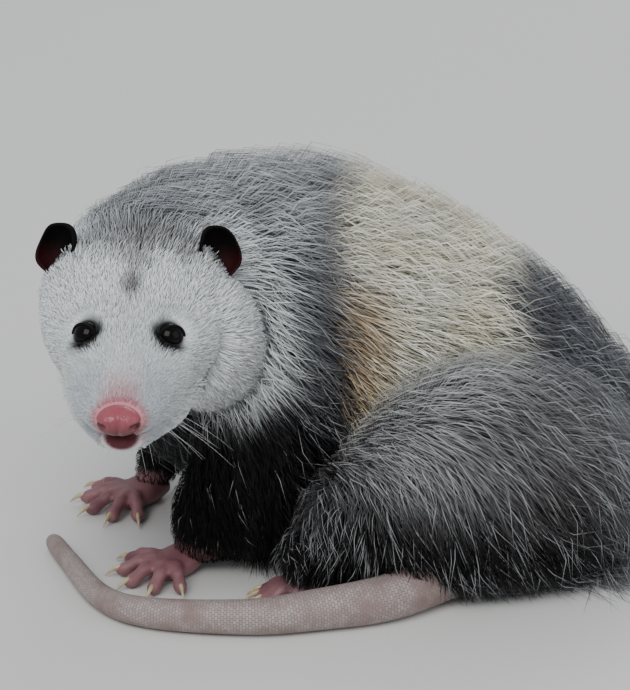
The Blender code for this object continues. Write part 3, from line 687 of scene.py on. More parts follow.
# Ears. Each is a thin, bare, leathery bowl, black at the rim and flesh-dark inside near its root.
EAR_AT = (36.5, -47.0, 18.5)
EAR_LOOK = (0.42, 0.88, 0.20)
EAR_LEAN = math.radians(24.0)
EAR_HALF_HEIGHT = 12.6
EAR_HALF_WIDTH = 8.6
EAR_DEPTH = 10.0
EAR_WALL = 0.9
EAR_RED = linear("#2a090c")


def ear(name, side):
    """A bowl that opens ahead and outwards: its back from root to rim, then its inner wall."""
    look = unit(mirrored(EAR_LOOK, side) @ HEAD_AXES)
    left, _, above = HEAD_AXES
    lean = above * math.cos(EAR_LEAN) - left * side * math.sin(EAR_LEAN)
    across = unit(np.cross(look, lean))
    high = np.cross(across, look)
    centre = from_head(mirrored(EAR_AT, side))
    sides = 48
    angle = np.arange(sides) * math.tau / sides

    def ring(share, deep):
        crumple = 1 + 0.03 * np.sin(angle * 5 + side) * share**3
        spread = np.outer(np.cos(angle) * crumple, across) * EAR_HALF_WIDTH * share
        spread = spread + np.outer(np.sin(angle) * crumple, high) * EAR_HALF_HEIGHT * share
        curl = np.sin(angle * 3 + 1.0) * 0.8 * share**4
        return centre + spread - look * (deep + curl[:, None])

    thin = 1.0 - EAR_WALL / EAR_HALF_WIDTH
    rings = [
        ring(math.sin(bend), EAR_DEPTH * math.cos(bend))
        for bend in np.linspace(0.12, math.pi / 2, 14)
    ]
    rings += [
        ring(thin * math.sin(bend), (EAR_DEPTH - EAR_WALL) * math.cos(bend))
        for bend in np.linspace(math.pi / 2, 0.14, 14)
    ]
    made = mesh_object(name, np.vstack(rings), ring_faces(len(rings), sides))
    recalculate(made)
    low = ((np.vstack(rings) - centre) @ high) / EAR_HALF_HEIGHT
    give_colours(made, mixed(EAR_RED, SOOT, ramp(low, -0.75, 0.1)))
    return made


ears = [ear("ear", 1), ear("ear", -1)]

# Nose. A moist pink pad of two lobes with a groove between them, and a comma-shaped nostril at
# the outer side of each.
NOSE_SIZE = (9.2, 6.4, 6.8)
NOSTRIL_AT = (7.4, 51.5, -18.2)
NOSTRIL_SIZE = (3.0, 6.0, 1.7)
NOSE_DEEP = linear("#4a131b")
NOSE_ROSE = linear("#923e4a")
NOSTRIL_PAINTED_SHADE = linear("#2a0b0e")
nose = ball("nose_pad", from_head(NOSE_AT), NOSE_SIZE, HEAD_AXES, rings=44)
pad = to_head(pose_points(nose))
for side in (1, -1):
    # The wing of the nostril, its opening, and the slit that runs out of it to the side.
    pad = press(pad, mirrored((6.8, 53, -18.4), side), (3.6, 5, 3.6), mirrored((1.3, 0.9, 0), side))
    pad = press(pad, mirrored((7.2, 54.5, -19.0), side), (2.3, 4, 1.6), (0, -5.0, 0))
    pad = press(pad, mirrored((9.4, 52.5, -18.0), side), (1.5, 4, 1.0), mirrored((-1.6, -2.0, 0), side))
# The groove down the middle and the dip where the bridge ends.
pad = press(pad, (0, 57, -19), (0.9, 6, 8), (0, -1.3, 0))
pad = press(pad, (0, 54, -11), (6, 5, 2.5), (0, -1.0, -0.6))
move_to(nose, from_head(pad) * MM + SHIFT)
pad_colour = mixed(NOSE_DEEP, NOSE_ROSE, ramp(pad[:, 2], -24, -13))
# The openings of the nostrils are painted dark, as the shade inside them.
for side in (1, -1):
    gap = np.linalg.norm((pad - mirrored(NOSTRIL_AT, side)) / NOSTRIL_SIZE, axis=1)
    pad_colour = mixed(pad_colour, NOSTRIL_PAINTED_SHADE, fading(gap, 0.55, 1.0) * 0.9)
give_colours(nose, pad_colour)

# Tail. The real one is bare but for a few bristles, which are left out here; it is ringed with fine
# scales, thick at its root under the haunch and laid forward on the floor to a blunt end.
TAIL_ROWS = (
    (136, -38, 26, 12.6), (124, -52, 18, 12.2), (100, -64, 14, 11.8), (64, -82, 12, 11.2),
    (33, -104, 10.2, 10.4), (2, -114, 9.2, 9.2), (-29, -119, 8.1, 7.9), (-72, -113, 7.0, 6.8),
    (-94, -96, 5.8, 5.6), (-111, -58, 4.8, 4.6), (-118, -40, 4.2, 4.0), (-120, -35, 3.6, 2.2),
)
TAIL_SIDES = 44
tail_rows = through(TAIL_ROWS, 16)
tail_ways = unit(np.gradient(tail_rows[:, :3], axis=0))
spans = np.linalg.norm(np.diff(tail_rows[:, :3], axis=0), axis=1)
tail_length = np.concatenate([[0.0], np.cumsum(spans)])
rings = [
    oval_ring(row[:3], way, UP, *(row[3],) * 3, TAIL_SIDES)
    for row, way in zip(tail_rows, tail_ways)
]
tail = mesh_object("tail_flesh", np.vstack(rings), ring_faces(len(rings), TAIL_SIDES))
recalculate(tail)
tail_points = pose_points(tail)
tail_points[:, 2] = np.maximum(tail_points[:, 2], 0.0)
move_to(tail, tail_points * MM + SHIFT)

# The skin is finished as one piece: lids, ears, nose and tail are joined to the flesh, and each
# zone has its own finish.
def pored_skin(name, roughness, scale, strength, depth, **settings):
    """A skin in the colour of its markings and painted shade, with a fine grain raised on it."""
    made, shader = new_material(name, roughness, **settings)
    place = add(made, "ShaderNodeTexCoord")
    colour = add(made, "ShaderNodeAttribute", attribute_name="marking_and_painted_shade")
    pores = add(made, "ShaderNodeTexNoise", {"Vector": place.outputs["Object"]}, Scale=scale, Detail=4.0)
    relief = add(
        made, "ShaderNodeBump", {"Height": pores.outputs["Fac"]}, Strength=strength, Distance=depth,
    )
    wire(made, shader, {"Base Color": colour.outputs["Color"], "Normal": relief.outputs["Normal"]})
    return made


# Each grain is coarser than the real pores, so that it shows. Hide and ears are dull, and the
# feet are a little moist and let light in, red deepest. Its reach is in metres.
PINK_GLOW = (0.003, 0.0012, 0.0008)
hide = pored_skin("hide under the coat", 0.75, 2500.0, 0.6, 0.0004)
ear_skin = pored_skin(
    "black leathery skin of the ears", 0.7, 900.0, 0.4, 0.0004, Specular_IOR_Level=0.12,
)
paw_skin = pored_skin(
    "pink wrinkled skin of the feet", 0.5, 700.0, 0.5, 0.0006, Subsurface_Weight=0.15,
    Subsurface_Radius=PINK_GLOW,
)

lid_skin, shader = new_material("dark bare skin of the lids", 0.6, Specular_IOR_Level=0.15)
shader.inputs["Base Color"].default_value = rgba("#0a0707")

# The pad of the nose is moist, so it has a soft shine over its pebbled grain.
nose_skin, shader = new_material(
    "moist pink skin of the nose", 0.28, Subsurface_Weight=0.25, Subsurface_Radius=PINK_GLOW,
)
place = add(nose_skin, "ShaderNodeTexCoord")
pores = add(nose_skin, "ShaderNodeTexVoronoi", {"Vector": place.outputs["Object"]}, Scale=1100.0)
blush = add(nose_skin, "ShaderNodeTexNoise", {"Vector": place.outputs["Object"]}, Scale=160.0)
colour = add(nose_skin, "ShaderNodeAttribute", attribute_name="marking_and_painted_shade")
fade = add(nose_skin, "ShaderNodeMath", {0: blush.outputs["Fac"]}, operation="MULTIPLY")
fade.inputs[1].default_value = 0.15
tint = add(
    nose_skin, "ShaderNodeMix", {"Factor": fade.outputs["Value"], "A": colour.outputs["Color"]},
    data_type="RGBA", B=rgba("#d9979c"),
)
relief = add(
    nose_skin, "ShaderNodeBump", {"Height": pores.outputs["Distance"]}, Strength=0.5, Distance=0.0003,
)
wire(nose_skin, shader, {"Base Color": tint.outputs["Result"], "Normal": relief.outputs["Normal"]})

# Scales of the tail: rings about 1.3 mm apart, broken into staggered rows round it.
SCALE_MM = 1.3
tail_skin, shader = new_material(
    "ringed scaly skin of the tail", 0.55, Subsurface_Weight=0.08,
    Subsurface_Radius=(0.002, 0.001, 0.0007),
)
along = add(tail_skin, "ShaderNodeUVMap", uv_map="scales")
brick = add(
    tail_skin, "ShaderNodeTexBrick", {"Vector": along.outputs["UV"]}, offset=0.5,
    Color1=rgba("#aca09d"), Color2=rgba("#998b88"), Mortar=rgba("#74645f"),
    **{"Scale": 1.0, "Mortar Size": 0.11, "Mortar Smooth": 0.8, "Brick Width": 1.1, "Row Height": 1.0},
)
place = add(tail_skin, "ShaderNodeTexCoord")
stain = add(tail_skin, "ShaderNodeTexNoise", {"Vector": place.outputs["Object"]}, Scale=70.0, Detail=5.0)
patchy = add(
    tail_skin, "ShaderNodeMapRange", {"Value": stain.outputs["Fac"]},
    **{"From Min": 0.45, "From Max": 0.72},
)
tint = add(
    tail_skin, "ShaderNodeMix", {"Factor": patchy.outputs["Result"], "A": brick.outputs["Color"]},
    data_type="RGBA", B=rgba("#85706b"),
)
relief = add(
    tail_skin, "ShaderNodeBump", {"Height": brick.outputs["Fac"]}, Strength=0.5, Distance=0.0003,
    invert=True,
)
wire(tail_skin, shader, {"Base Color": tint.outputs["Result"], "Normal": relief.outputs["Normal"]})

# The map of the tail: across, turns round it in scales, and along, its length in scales.
SCALES_ROUND = 30
tail_map = tail.data.uv_layers.new(name="scales")
corners = np.empty(len(tail.data.loops), int)
tail.data.loops.foreach_get("vertex_index", corners)
scale_at = np.empty((len(corners), 2))
for face in tail.data.polygons:
    here = slice(face.loop_start, face.loop_start + face.loop_total)
    ring, turn = np.divmod(corners[here], TAIL_SIDES)
    turn = np.where((turn == 0) & (turn.max() == TAIL_SIDES - 1), TAIL_SIDES, turn)
    around = turn / TAIL_SIDES * SCALES_ROUND
    scale_at[here] = np.column_stack([around, tail_length[ring] / SCALE_MM])
tail_map.data.foreach_set("uv", scale_at.ravel())

finishes = (hide, lid_skin, ear_skin, nose_skin, tail_skin, paw_skin)
sunk_in = [*((each, lid_skin) for each in lids), *((each, ear_skin) for each in ears)]
sunk_in += [(nose, nose_skin), (tail, tail_skin)]
for material in finishes:
    skin.data.materials.append(material)
for piece, finish in sunk_in:
    for material in finishes:
        piece.data.materials.append(material)
    chosen = [finishes.index(finish)] * len(piece.data.polygons)
    piece.data.polygons.foreach_set("material_index", chosen)


def triangles_of(piece):
    """A piece's points, in millimetres of the pose, and its triangles."""
    piece.data.calc_loop_triangles()
    faces = np.empty(len(piece.data.loop_triangles) * 3, np.int32)
    piece.data.loop_triangles.foreach_get("vertices", faces)
    return pose_points(piece), faces.reshape(-1, 3)


flesh_points, flesh_faces = triangles_of(skin)

# Which part a place of the skin belongs to: the one whose row of ovals it is nearest, measured in
# half widths.
PARTS = {
    "torso": TORSO_ROWS,
    "neck": NECK_ROWS,
    "foreleg_left": FORELEG_LEFT_ROWS,
    "foreleg_right": FORELEG_RIGHT_ROWS,
    "hindleg_left": HINDLEG_LEFT_ROWS,
    "hindleg_right": HINDLEG_RIGHT_ROWS,
}


def nearness(points, rows):
    """Distance to the middle of a part, in its own half widths."""
    rows = through(rows, 3)
    nearest = np.full(len(points), np.inf)
    for row in rows:
        size = np.array((row[3], row[3], (row[4] + row[5]) / 2)) - row[6]
        middle = row[:3] + UP * (row[4] - row[5]) / 2
        if row[3] < 16:
            size = np.full(3, row[3] - row[6])
            middle = row[:3]
        nearest = np.minimum(nearest, np.linalg.norm((points - middle) / np.maximum(size, 3), axis=1))
    return nearest


def head_nearness(points):
    head = to_head(points)
    behind = ramp(-head[:, 1], 48, 62) * 2
    off = np.hypot(head[:, 0] / 46, (head[:, 2] + 8) / 46)
    far = ramp(head[:, 2], -70, -52)
    return off + behind + (1 - far) * 2


def foot_nearness(points):
    """Near 0 in the feet and over 1 outside them."""
    nearest = np.full(len(points), np.inf)
    for feet, rows in ((FOREFEET, FORE_PALM), (HINDFEET, HIND_SOLE)):
        for (x, y), heading in feet.values():
            offset = points - np.array((x, y, 0.0))
            forward = offset @ flat_way(heading)
            across = offset @ flat_way(heading + 90)
            reach = rows[-1][0] + 26
            out = np.maximum(np.abs(forward - reach / 2 + 2) - reach / 2, 0) / 5
            over = np.maximum(points[:, 2] - 12, 0) / 5
            nearest = np.minimum(nearest, np.hypot(np.hypot(across / 30, out), over))
    return nearest


part_names = [*PARTS, "head"]
measures = [nearness(flesh_points, rows) for rows in PARTS.values()]
measures.append(head_nearness(flesh_points))
feet_near = foot_nearness(flesh_points)
owner = np.argmin(np.array(measures), axis=0)
in_foot = feet_near < 1.0


def owner_weights(points, sharp=9.0):
    """How far each part holds sway at each place, as soft shares that add up to 1."""
    found = np.array([nearness(points, rows) for rows in PARTS.values()] + [head_nearness(points)])
    share = np.exp(-sharp * (found - found.min(axis=0)))
    return share / share.sum(axis=0)


def marking_and_painted_shade(points, shares):
    """The colour of skin and coat at places in millimetres of the pose."""
    trunk = trunk_colour(points)
    haunch = haunch_colour(points)
    legs = foreleg_colour(points)
    face = face_colour(to_head(points))
    colours = [trunk, trunk, legs, legs, haunch, haunch, face]
    return sum(share[:, None] * colour for share, colour in zip(shares, colours))


flesh_shares = owner_weights(flesh_points)
flesh_colour = marking_and_painted_shade(flesh_points, flesh_shares)
PAW_PINK = linear("#9a6c70")
PAW_ROSE = linear("#764c52")
PAW_GREY = linear("#5f5154")
wrinkle = waves(flesh_points, 6, 21)
paw = mixed(PAW_PINK, PAW_ROSE, wrinkle)
paw = mixed(paw, PAW_GREY, ramp(flesh_points[:, 0], -30, 0) * 0.5)
wrist = ramp(feet_near, 0.6, 1.2)
flesh_colour = mixed(paw, flesh_colour, wrist)
is_paw = in_foot[flesh_faces].all(axis=1)
give_colours(skin, flesh_colour)
face_verts = np.empty(len(skin.data.loops), int)
skin.data.loops.foreach_get("vertex_index", face_verts)
starts = np.empty(len(skin.data.polygons), int)
skin.data.polygons.foreach_get("loop_start", starts)
chosen = np.where(in_foot[face_verts[starts]], finishes.index(paw_skin), 0)
skin.data.polygons.foreach_set("material_index", chosen)
for piece in (*lids, tail):
    give_colours(piece, np.tile(SOOT, (len(piece.data.vertices), 1)))
select_only(skin, *lids, *ears, nose, tail)
bpy.ops.object.join()
bpy.ops.object.shade_smooth()
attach(skin, "root")
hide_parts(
    "head", "neck", "torso", "foreleg_left", "foreleg_right", "hindleg_left",
    "hindleg_right", "forefoot_left", "forefoot_right", "hindfoot_left", "hindfoot_right",
    "nose", "ear_left", "ear_right", "tail_1", "tail_2", "tail_3", "tail_4", "tail_5",
)

# Claws. Each is a curved horn cone, mottled from dark to yellowish by a fine grain.
CLAW_LENGTH = 7.0
CLAW_RADIUS = 1.3
# Along a claw: share of its length, height of its middle, share of its thickness.
CLAW_ROWS = ((-0.35, 4.3, 0.9), (0.0, 4.9, 1.0), (0.3, 4.5, 0.9), (0.65, 3.2, 0.6), (1.0, 1.1, 0.12))
horn, shader = new_material(
    "translucent yellowish horn of the claws", 0.3, IOR=1.54, Subsurface_Weight=0.2,
    Subsurface_Radius=(0.002, 0.0015, 0.001),
)
place = add(horn, "ShaderNodeTexCoord")
fibre = add(horn, "ShaderNodeTexNoise", {"Vector": place.outputs["Object"]}, Scale=300.0, Detail=3.0)
tint = add(
    horn, "ShaderNodeMix", {"Factor": fibre.outputs["Fac"]}, data_type="RGBA",
    A=rgba("#8f7a5a"), B=rgba("#e3d4ae"),
)
relief = add(horn, "ShaderNodeBump", {"Height": fibre.outputs["Fac"]}, Strength=0.3, Distance=0.0002)
wire(horn, shader, {"Base Color": tint.outputs["Result"], "Normal": relief.outputs["Normal"]})

for (kind, side), rows in toe_rows.items():
    for k, (base, degrees, length) in enumerate(rows):
        way = flat_way(degrees)
        claw_rows = []
        for share, high, thick in CLAW_ROWS:
            middle = base + way * (length + CLAW_LENGTH * share) + UP * high
            radius = CLAW_RADIUS * thick
            claw_rows.append((*middle, radius * 0.8, radius, radius))
        claw = tube(f"horn_{kind}_{side}_{k + 1}", claw_rows, sides=16, steps=4)
        recalculate(claw)
        claw.data.materials.append(horn)
        select_only(claw)
        bpy.ops.object.shade_smooth()
        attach(claw, "root")
        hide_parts(f"claw_{kind}_{side}_{k + 1}")

# The coat. Every tuft is a thin tapered blade of a few hairs, rooted in the skin and lying along
# the body. Each kind of place has its own length, rise and lie, and its tufts' colour is the skin's
# at the root, darker below, partly as underfur and partly as painted shade deep in the coat, and
# paler towards the tip, with white guard hairs among them.
PATCH = 0.003
GUARD = linear("#e3e6e8")
coat_hair, shader = new_material("dry animal hair", 0.75, Specular_IOR_Level=0.18)
colour = add(coat_hair, "ShaderNodeAttribute", attribute_name="marking_and_painted_shade")
wire(coat_hair, shader, {"Base Color": colour.outputs["Color"]})


def sample_roots(points, faces, per_mm2, rng):
    """Seeded places on triangles, at so many to the square millimetre of each face."""
    a, b, c = (points[faces[:, k]] for k in range(3))
    cross = np.cross(b - a, c - a)
    area = np.linalg.norm(cross, axis=1) / 2
    expected = area * per_mm2
    count = np.floor(expected + rng.random(len(expected))).astype(int)
    pick = np.repeat(np.arange(len(faces)), count)
    u, v = rng.random((2, len(pick)))
    flip = u + v > 1
    u, v = np.where(flip, 1 - u, u), np.where(flip, 1 - v, v)
    roots = a[pick] + (b - a)[pick] * u[:, None] + (c - a)[pick] * v[:, None]
    return roots, unit(cross[pick]), pick


def smooth_normals(points, faces):
    a, b, c = (points[faces[:, k]] for k in range(3))
    cross = np.cross(b - a, c - a)
    total = np.zeros_like(points)
    for k in range(3):
        np.add.at(total, faces[:, k], cross)
    return unit(total)


def tuft_mesh(name, paths, ways, outs, widths, colours, patches):
    """Joins tufts into one closed mesh. Each is a blade of three sides along a path of points, with
    a colour at each point and a small patch of its own on the map used for baking."""
    count, steps = paths.shape[:2]
    across = unit(np.cross(ways, outs))
    corners = []
    for angle in (0.0, math.tau / 3, 2 * math.tau / 3):
        corners.append(across * math.cos(angle) + outs * math.sin(angle) * 0.45)
    rings = steps - 1
    size = rings * 3 + 1
    points = np.empty((count, size, 3))
    tint = np.empty((count, size, 3))
    for r in range(rings):
        for k in range(3):
            points[:, r * 3 + k] = paths[:, r] + corners[k] * widths[:, r, None]
            tint[:, r * 3 + k] = colours[:, r]
    points[:, -1] = paths[:, -1]
    tint[:, -1] = colours[:, -1]
    pattern = [(0, 2, 1)]
    for r in range(rings - 1):
        for k in range(3):
            low, high = r * 3 + k, r * 3 + (k + 1) % 3
            pattern += [(low, high, high + 3), (low, high + 3, low + 3)]
    top = (rings - 1) * 3
    pattern += [(top + k, top + (k + 1) % 3, size - 1) for k in range(3)]
    pattern = np.array(pattern)
    faces = (pattern[None] + np.arange(count)[:, None, None] * size).reshape(-1, 3)
    data = bpy.data.meshes.new(name)
    data.vertices.add(count * size)
    data.vertices.foreach_set("co", (points.reshape(-1, 3) * MM + SHIFT).astype(np.float32).ravel())
    data.loops.add(faces.size)
    data.loops.foreach_set("vertex_index", faces.ravel().astype(np.int32))
    data.polygons.add(len(faces))
    data.polygons.foreach_set("loop_start", np.arange(0, faces.size, 3, dtype=np.int32))
    data.update(calc_edges=True)
    made = bpy.data.objects.new(name, data)
    bpy.context.scene.collection.objects.link(made)
    give_colours(made, tint.reshape(-1, 3))
    # The patch runs up the tuft from its root, with the three sides beside each other.
    step_up = np.append(np.repeat(np.arange(rings), 3), rings) / rings
    beside = np.append(np.tile(np.arange(3), rings), 1) / 3
    local = np.column_stack([beside, step_up]) * PATCH
    corner_places = patches[:, None, None, :] + local[pattern][None]
    layer = data.uv_layers.new(name="OFBake")
    layer.data.foreach_set("uv", corner_places.astype(np.float32).ravel())
    data.materials.append(coat_hair)
    data.shade_smooth()
    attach(made, "root")
    return made


def coat_depth(points, shares):
    """Depth of the coat at each place, from the rows of the parts that it belongs to."""
    depths = []
    for rows in PARTS.values():
        rows = through(rows, 3)
        gap = np.linalg.norm(points[:, None, :] - rows[None, :, :3], axis=2)
        depths.append(rows[np.argmin(gap, axis=1), -1])
    rows = np.array(SKULL_ROWS)[::-1]
    depths.append(np.interp(to_head(points)[:, 1], rows[:, 0], rows[:, -1]))
    return sum(share * depth for share, depth in zip(shares, depths))


def lie_of(points, outs, shares):
    """The way the hair lies: back over head and neck, back and down the flanks, down the legs."""
    flank = 1.0 - np.maximum(outs[:, 2], 0.0)
    one, zero = np.ones(len(points)), np.zeros(len(points))
    trunk = np.column_stack([one, zero, -0.12 - 0.7 * flank])
    neck = np.column_stack([0.6 * one, 0.7 * one, 0.1 - 0.75 * flank])
    foreleg = np.column_stack([0.25 * one, zero, -one])
    back = np.clip((points[:, 0] - 20) / 80, -0.35, 0.9)
    on_top = ramp(outs[:, 2], 0.2, 0.9)
    hindleg = np.column_stack([back + 1.6 * on_top, -0.35 * on_top, 0.7 * on_top - 1])
    head = to_head(points)
    away = unit(head - (0, 52, -18)) + (0, -0.35, 0)
    away[:, 2] -= 0.5 * ramp(np.abs(head[:, 0]), 20, 40) * ramp(-head[:, 2], -10, 20)
    for side in (1, -1):
        from_eye = head - mirrored(EYE_AT, side)
        gap = np.linalg.norm(from_eye, axis=1, keepdims=True)
        away = away + unit(from_eye) * 2.2 * np.exp(-((gap / 11.0) ** 2))
    ways = [trunk, neck, foreleg, foreleg, hindleg, hindleg, away @ HEAD_AXES]
    lie = sum(share[:, None] * unit(way) for share, way in zip(shares, ways))
    return unit(lie - outs * (lie * outs).sum(axis=1, keepdims=True))


def clumped(roots, tips, apart, pull, rng):
    """Draws the tips of neighbouring tufts together, round tufts picked so far apart."""
    order = rng.permutation(len(roots))
    keep = order[: max(1, int(len(roots) / max(1.0, apart)))]
    tree = KDTree(len(keep))
    for n, k in enumerate(keep):
        tree.insert(roots[k], n)
    tree.balance()
    nearest = keep[np.array([tree.find(root)[1] for root in roots])]
    toward = tips[nearest] - tips
    return tips + toward * pull * rng.uniform(0.3, 1.0, (len(roots), 1))


def unwrapped(points, axis, middle):
    """Places on a map that unrolls the skin round an axis, filling 0 to 1 both ways."""
    axis = unit(axis)
    first = unit(np.cross(axis, (0.3, 0.2, 0.9)))
    second = np.cross(axis, first)
    offset = points - middle
    angle = np.arctan2(offset @ second, offset @ first) / math.tau + 0.5
    along = offset @ axis
    spread = [np.interp(v, (v.min(), v.max()), (0.002, 0.995)) for v in (angle, along)]
    return np.column_stack(spread)


def from_eyes(head):
    """Distance to the nearer eye."""
    return np.min([np.linalg.norm(head - mirrored(EYE_AT, side), axis=1) for side in (1, -1)], axis=0)


STEPS = 3
SINK = 0.12
HUG = 0.006


def grow_coat(name, mask, tufts, seed, axis, density=None, long=1.8, width=0.5,
              rise=(0.35, 1.05), sway=0.26, apart=9, pull=0.25, guard=0.1):
    """Covers some faces of the skin with tufts. Length and rise are shares of the coat's depth
    there, sway is how far they turn aside, and guard is the share of white guard hairs."""
    rng = np.random.default_rng(seed)
    faces = flesh_faces[mask]
    a, b, c = (flesh_points[faces[:, k]] for k in range(3))
    area = np.linalg.norm(np.cross(b - a, c - a), axis=1) / 2
    weight = np.ones(len(faces)) if density is None else density((a + b + c) / 3)
    per_mm2 = weight * tufts / (area * weight).sum()
    roots, _, pick = sample_roots(flesh_points, faces, per_mm2, rng)
    outs = unit(flesh_normals[faces[pick]].mean(axis=1))
    shares = owner_weights(roots)
    depth = coat_depth(roots, shares)
    lies = lie_of(roots, outs, shares)
    across = np.cross(outs, lies)
    count = len(roots)
    guards = rng.random(count) < guard * (0.4 + 1.2 * waves(roots, 14, seed + 2))
    turn = rng.normal(0, sway, count) * np.where(guards, 1.5, 1.0)
    turn = turn + (waves(roots, 16, seed + 1) - 0.5) * 0.5
    lies = unit(lies + across * turn[:, None])
    # The coat is shorter round the eyes and before the ears, and longer on cheeks and low haunches.
    head = to_head(roots)
    depth = depth * (0.5 + 0.5 * ramp(from_eyes(head), 7, 14))
    near_ear = np.linalg.norm(np.abs(head) - np.abs(EAR_AT), axis=1)
    depth = depth * (0.4 + 0.6 * np.maximum(ramp(near_ear, 8, 19), ramp(-head[:, 1], 46, 50)))
    depth = np.maximum(depth, 1.2 * shares[-1])
    cheek = ramp(np.abs(head[:, 0]), 20, 31) * ramp(-head[:, 2], -4, 18) * 0.8
    ruff = np.maximum(ramp(-head[:, 1], 18, 44), cheek) * shares[-1]
    depth = depth * (1 + 0.25 * ruff)
    low_haunch = (shares[4] + shares[5]) * fading(roots[:, 2], 30, 60)
    length = depth * long * rng.uniform(0.7, 1.15, count) * np.where(guards, 1.25, 1.0)
    length = length * (1 + 0.75 * ruff + 0.4 * low_haunch)
    high = depth * rng.uniform(*rise, count) * np.where(guards, 1.12, 1.0)
    shares_up = np.linspace(0, 1, STEPS)
    tips = roots + lies * length[:, None] + outs * (high - HUG * length**2)[:, None]
    tips = clumped(roots, tips, apart, pull, rng)
    tips = tips - UP * (0.04 * length)[:, None]
    tips[:, 2] = np.maximum(tips[:, 2], 0.5)
    paths = np.empty((count, STEPS, 3))
    lift = outs * (high * 0.55)[:, None]
    base = roots - outs * (SINK * depth)[:, None]
    for k, t in enumerate(shares_up):
        paths[:, k] = base * (1 - t) + tips * t + lift * (4 * t * (1 - t))
    paths[..., 2] = np.maximum(paths[..., 2], 0.4)
    ways = unit(tips - base)
    outs = unit(outs - ways * (outs * ways).sum(axis=1, keepdims=True))
    thick = width * rng.uniform(0.7, 1.3, count) * np.where(guards, 0.75, 1.0)
    fall = np.interp(shares_up[:-1], (0, 0.4, 1), (0.9, 1.0, 0.45))
    widths = thick[:, None] * fall[None] * np.clip(depth / 4, 0.45, 1.0)[:, None] * 0.6
    middle = roots + lies * (length * 0.4)[:, None] + outs * (high * 0.5)[:, None]
    tone = marking_and_painted_shade(middle, owner_weights(middle))
    light = tone.mean(axis=1, keepdims=True)
    tone = tone * np.exp(rng.normal(0, 0.26, (count, 1)) * (1 - 0.45 * ramp(light, 0.05, 0.5)))
    pale = np.where(guards[:, None], tone + (GUARD - tone) * 0.7, tone * 1.2)
    # Tufts are darker at the root, partly the darker underfur and partly painted shade deep in the coat.
    underfur_and_shade_tone = tone * (0.6 + 0.24 * ramp(light, 0.05, 0.4))
    colours = np.empty((count, STEPS, 3))
    for k, t in enumerate(shares_up):
        colours[:, k] = underfur_and_shade_tone * (1 - t) + pale * t
    patches = unwrapped(roots, axis, roots.mean(axis=0))
    piece = tuft_mesh(name, paths, ways, outs, widths, np.clip(colours, 0, 1), patches)


flesh_normals = smooth_normals(flesh_points, flesh_faces)
middles = flesh_points[flesh_faces].mean(axis=1)
head_middles = to_head(middles)
face_owner = owner[flesh_faces[:, 0]]
bare_skin = is_paw | (middles[:, 2] < 1.0)
eye_gap = from_eyes(head_middles)
nose_gap = np.linalg.norm((head_middles - NOSE_AT) / (10.5, 6.6, 7.6), axis=1)
on_trunk_skin = flesh_faces[:, 0] < trunk_count
on_head = (face_owner == 6) & ~on_trunk_skin & ~bare_skin & (eye_gap > 7.3) & (nose_gap > 1.0)
in_lips = lip_depth(head_middles, 2.0) > 0.4
on_head &= ~in_lips


def is_part(*wanted):
    """The faces of the trunk's skin that belong to the parts named."""
    chosen = np.isin(face_owner, [part_names.index(each) for each in wanted])
    return chosen & on_trunk_skin & (middles[:, 2] > 1.0)


def fine_on_muzzle(points):
    return 1.0 + 2.2 * ramp(to_head(points)[:, 1], -20, 25)


share = 1.0
left, ahead, above = head_middles.T
on_head &= ~((ahead > 37) & (above < -24) & (np.abs(left) < 8))
FRONT_OF_FACE = -6
grow_coat(
    "coat_face", on_head & (ahead > FRONT_OF_FACE), int(19500 * share), 31, HEAD_AXES[1],
    density=fine_on_muzzle, long=2.8, width=0.46, rise=(0.5, 1.25), sway=0.18,
    guard=0.0, apart=5, pull=0.15,
)
for side, sign, seed in (("left", 1, 41), ("right", -1, 51)):
    grow_coat(
        f"coat_cheek_{side}", on_head & (ahead <= FRONT_OF_FACE) & (left * sign > 0),
        int(17500 * share), seed, HEAD_AXES[1], long=1.9, rise=(0.35, 1.0), sway=0.2,
        guard=0.06, apart=6, pull=0.2,
    )
grow_coat(
    "coat_neck", is_part("neck"), int(17000 * share), 61, (0.3, 0.9, -0.2), long=1.9,
    width=0.62, guard=0.2, rise=(0.4, 1.1),
)
on_left = middles[:, 1] < -5
for side, here, seed in (("left", on_left, 71), ("right", ~on_left, 81)):
    grow_coat(
        f"coat_torso_{side}", is_part("torso") & here, int(18500 * share), seed, (1, 0, 0),
        guard=0.14, rise=(0.35, 1.1), sway=0.28,
    )
grow_coat(
    "coat_haunch_left", is_part("hindleg_left"), int(18500 * share), 91, (1, 0, 0),
    guard=0.16,
)
grow_coat(
    "coat_haunch_right", is_part("hindleg_right"), int(11500 * share), 95, (1, 0, 0),
    guard=0.16, width=0.6,
)
grow_coat(
    "coat_forelegs", is_part("foreleg_left", "foreleg_right"), int(11500 * share), 99, (0, 0, 1),
    guard=0.012, rise=(0.35, 1.0), sway=0.24,
)

# Whiskers. Stiff white bristles stand in rows on the sides of the muzzle, with a few over the
# eyes and under the chin, and droop under their own weight.
bristle, shader = new_material("stiff white bristle", 0.4)
place = add(bristle, "ShaderNodeTexCoord")
fade = add(bristle, "ShaderNodeTexNoise", {"Vector": place.outputs["Object"]}, Scale=120.0)
tint = add(
    bristle, "ShaderNodeMix", {"Factor": fade.outputs["Fac"]}, data_type="RGBA",
    A=rgba("#a9a7a4"), B=rgba("#f7f7f5"),
)
wire(bristle, shader, {"Base Color": tint.outputs["Result"]})


def whisker(root, way, length, droop, thick=0.1):
    """A tapered bristle in the head's own frame, bent down and back as it goes."""
    rows = []
    for t in np.linspace(0, 1, 6):
        point = np.asarray(root) + unit(way) * length * t + np.array((0, -0.35, -1)) * droop * t**2
        size = thick * (1 - 0.75 * t)
        rows.append((*from_head(point), size, size, size))
    return tube("whisker", rows, sides=5, steps=4)


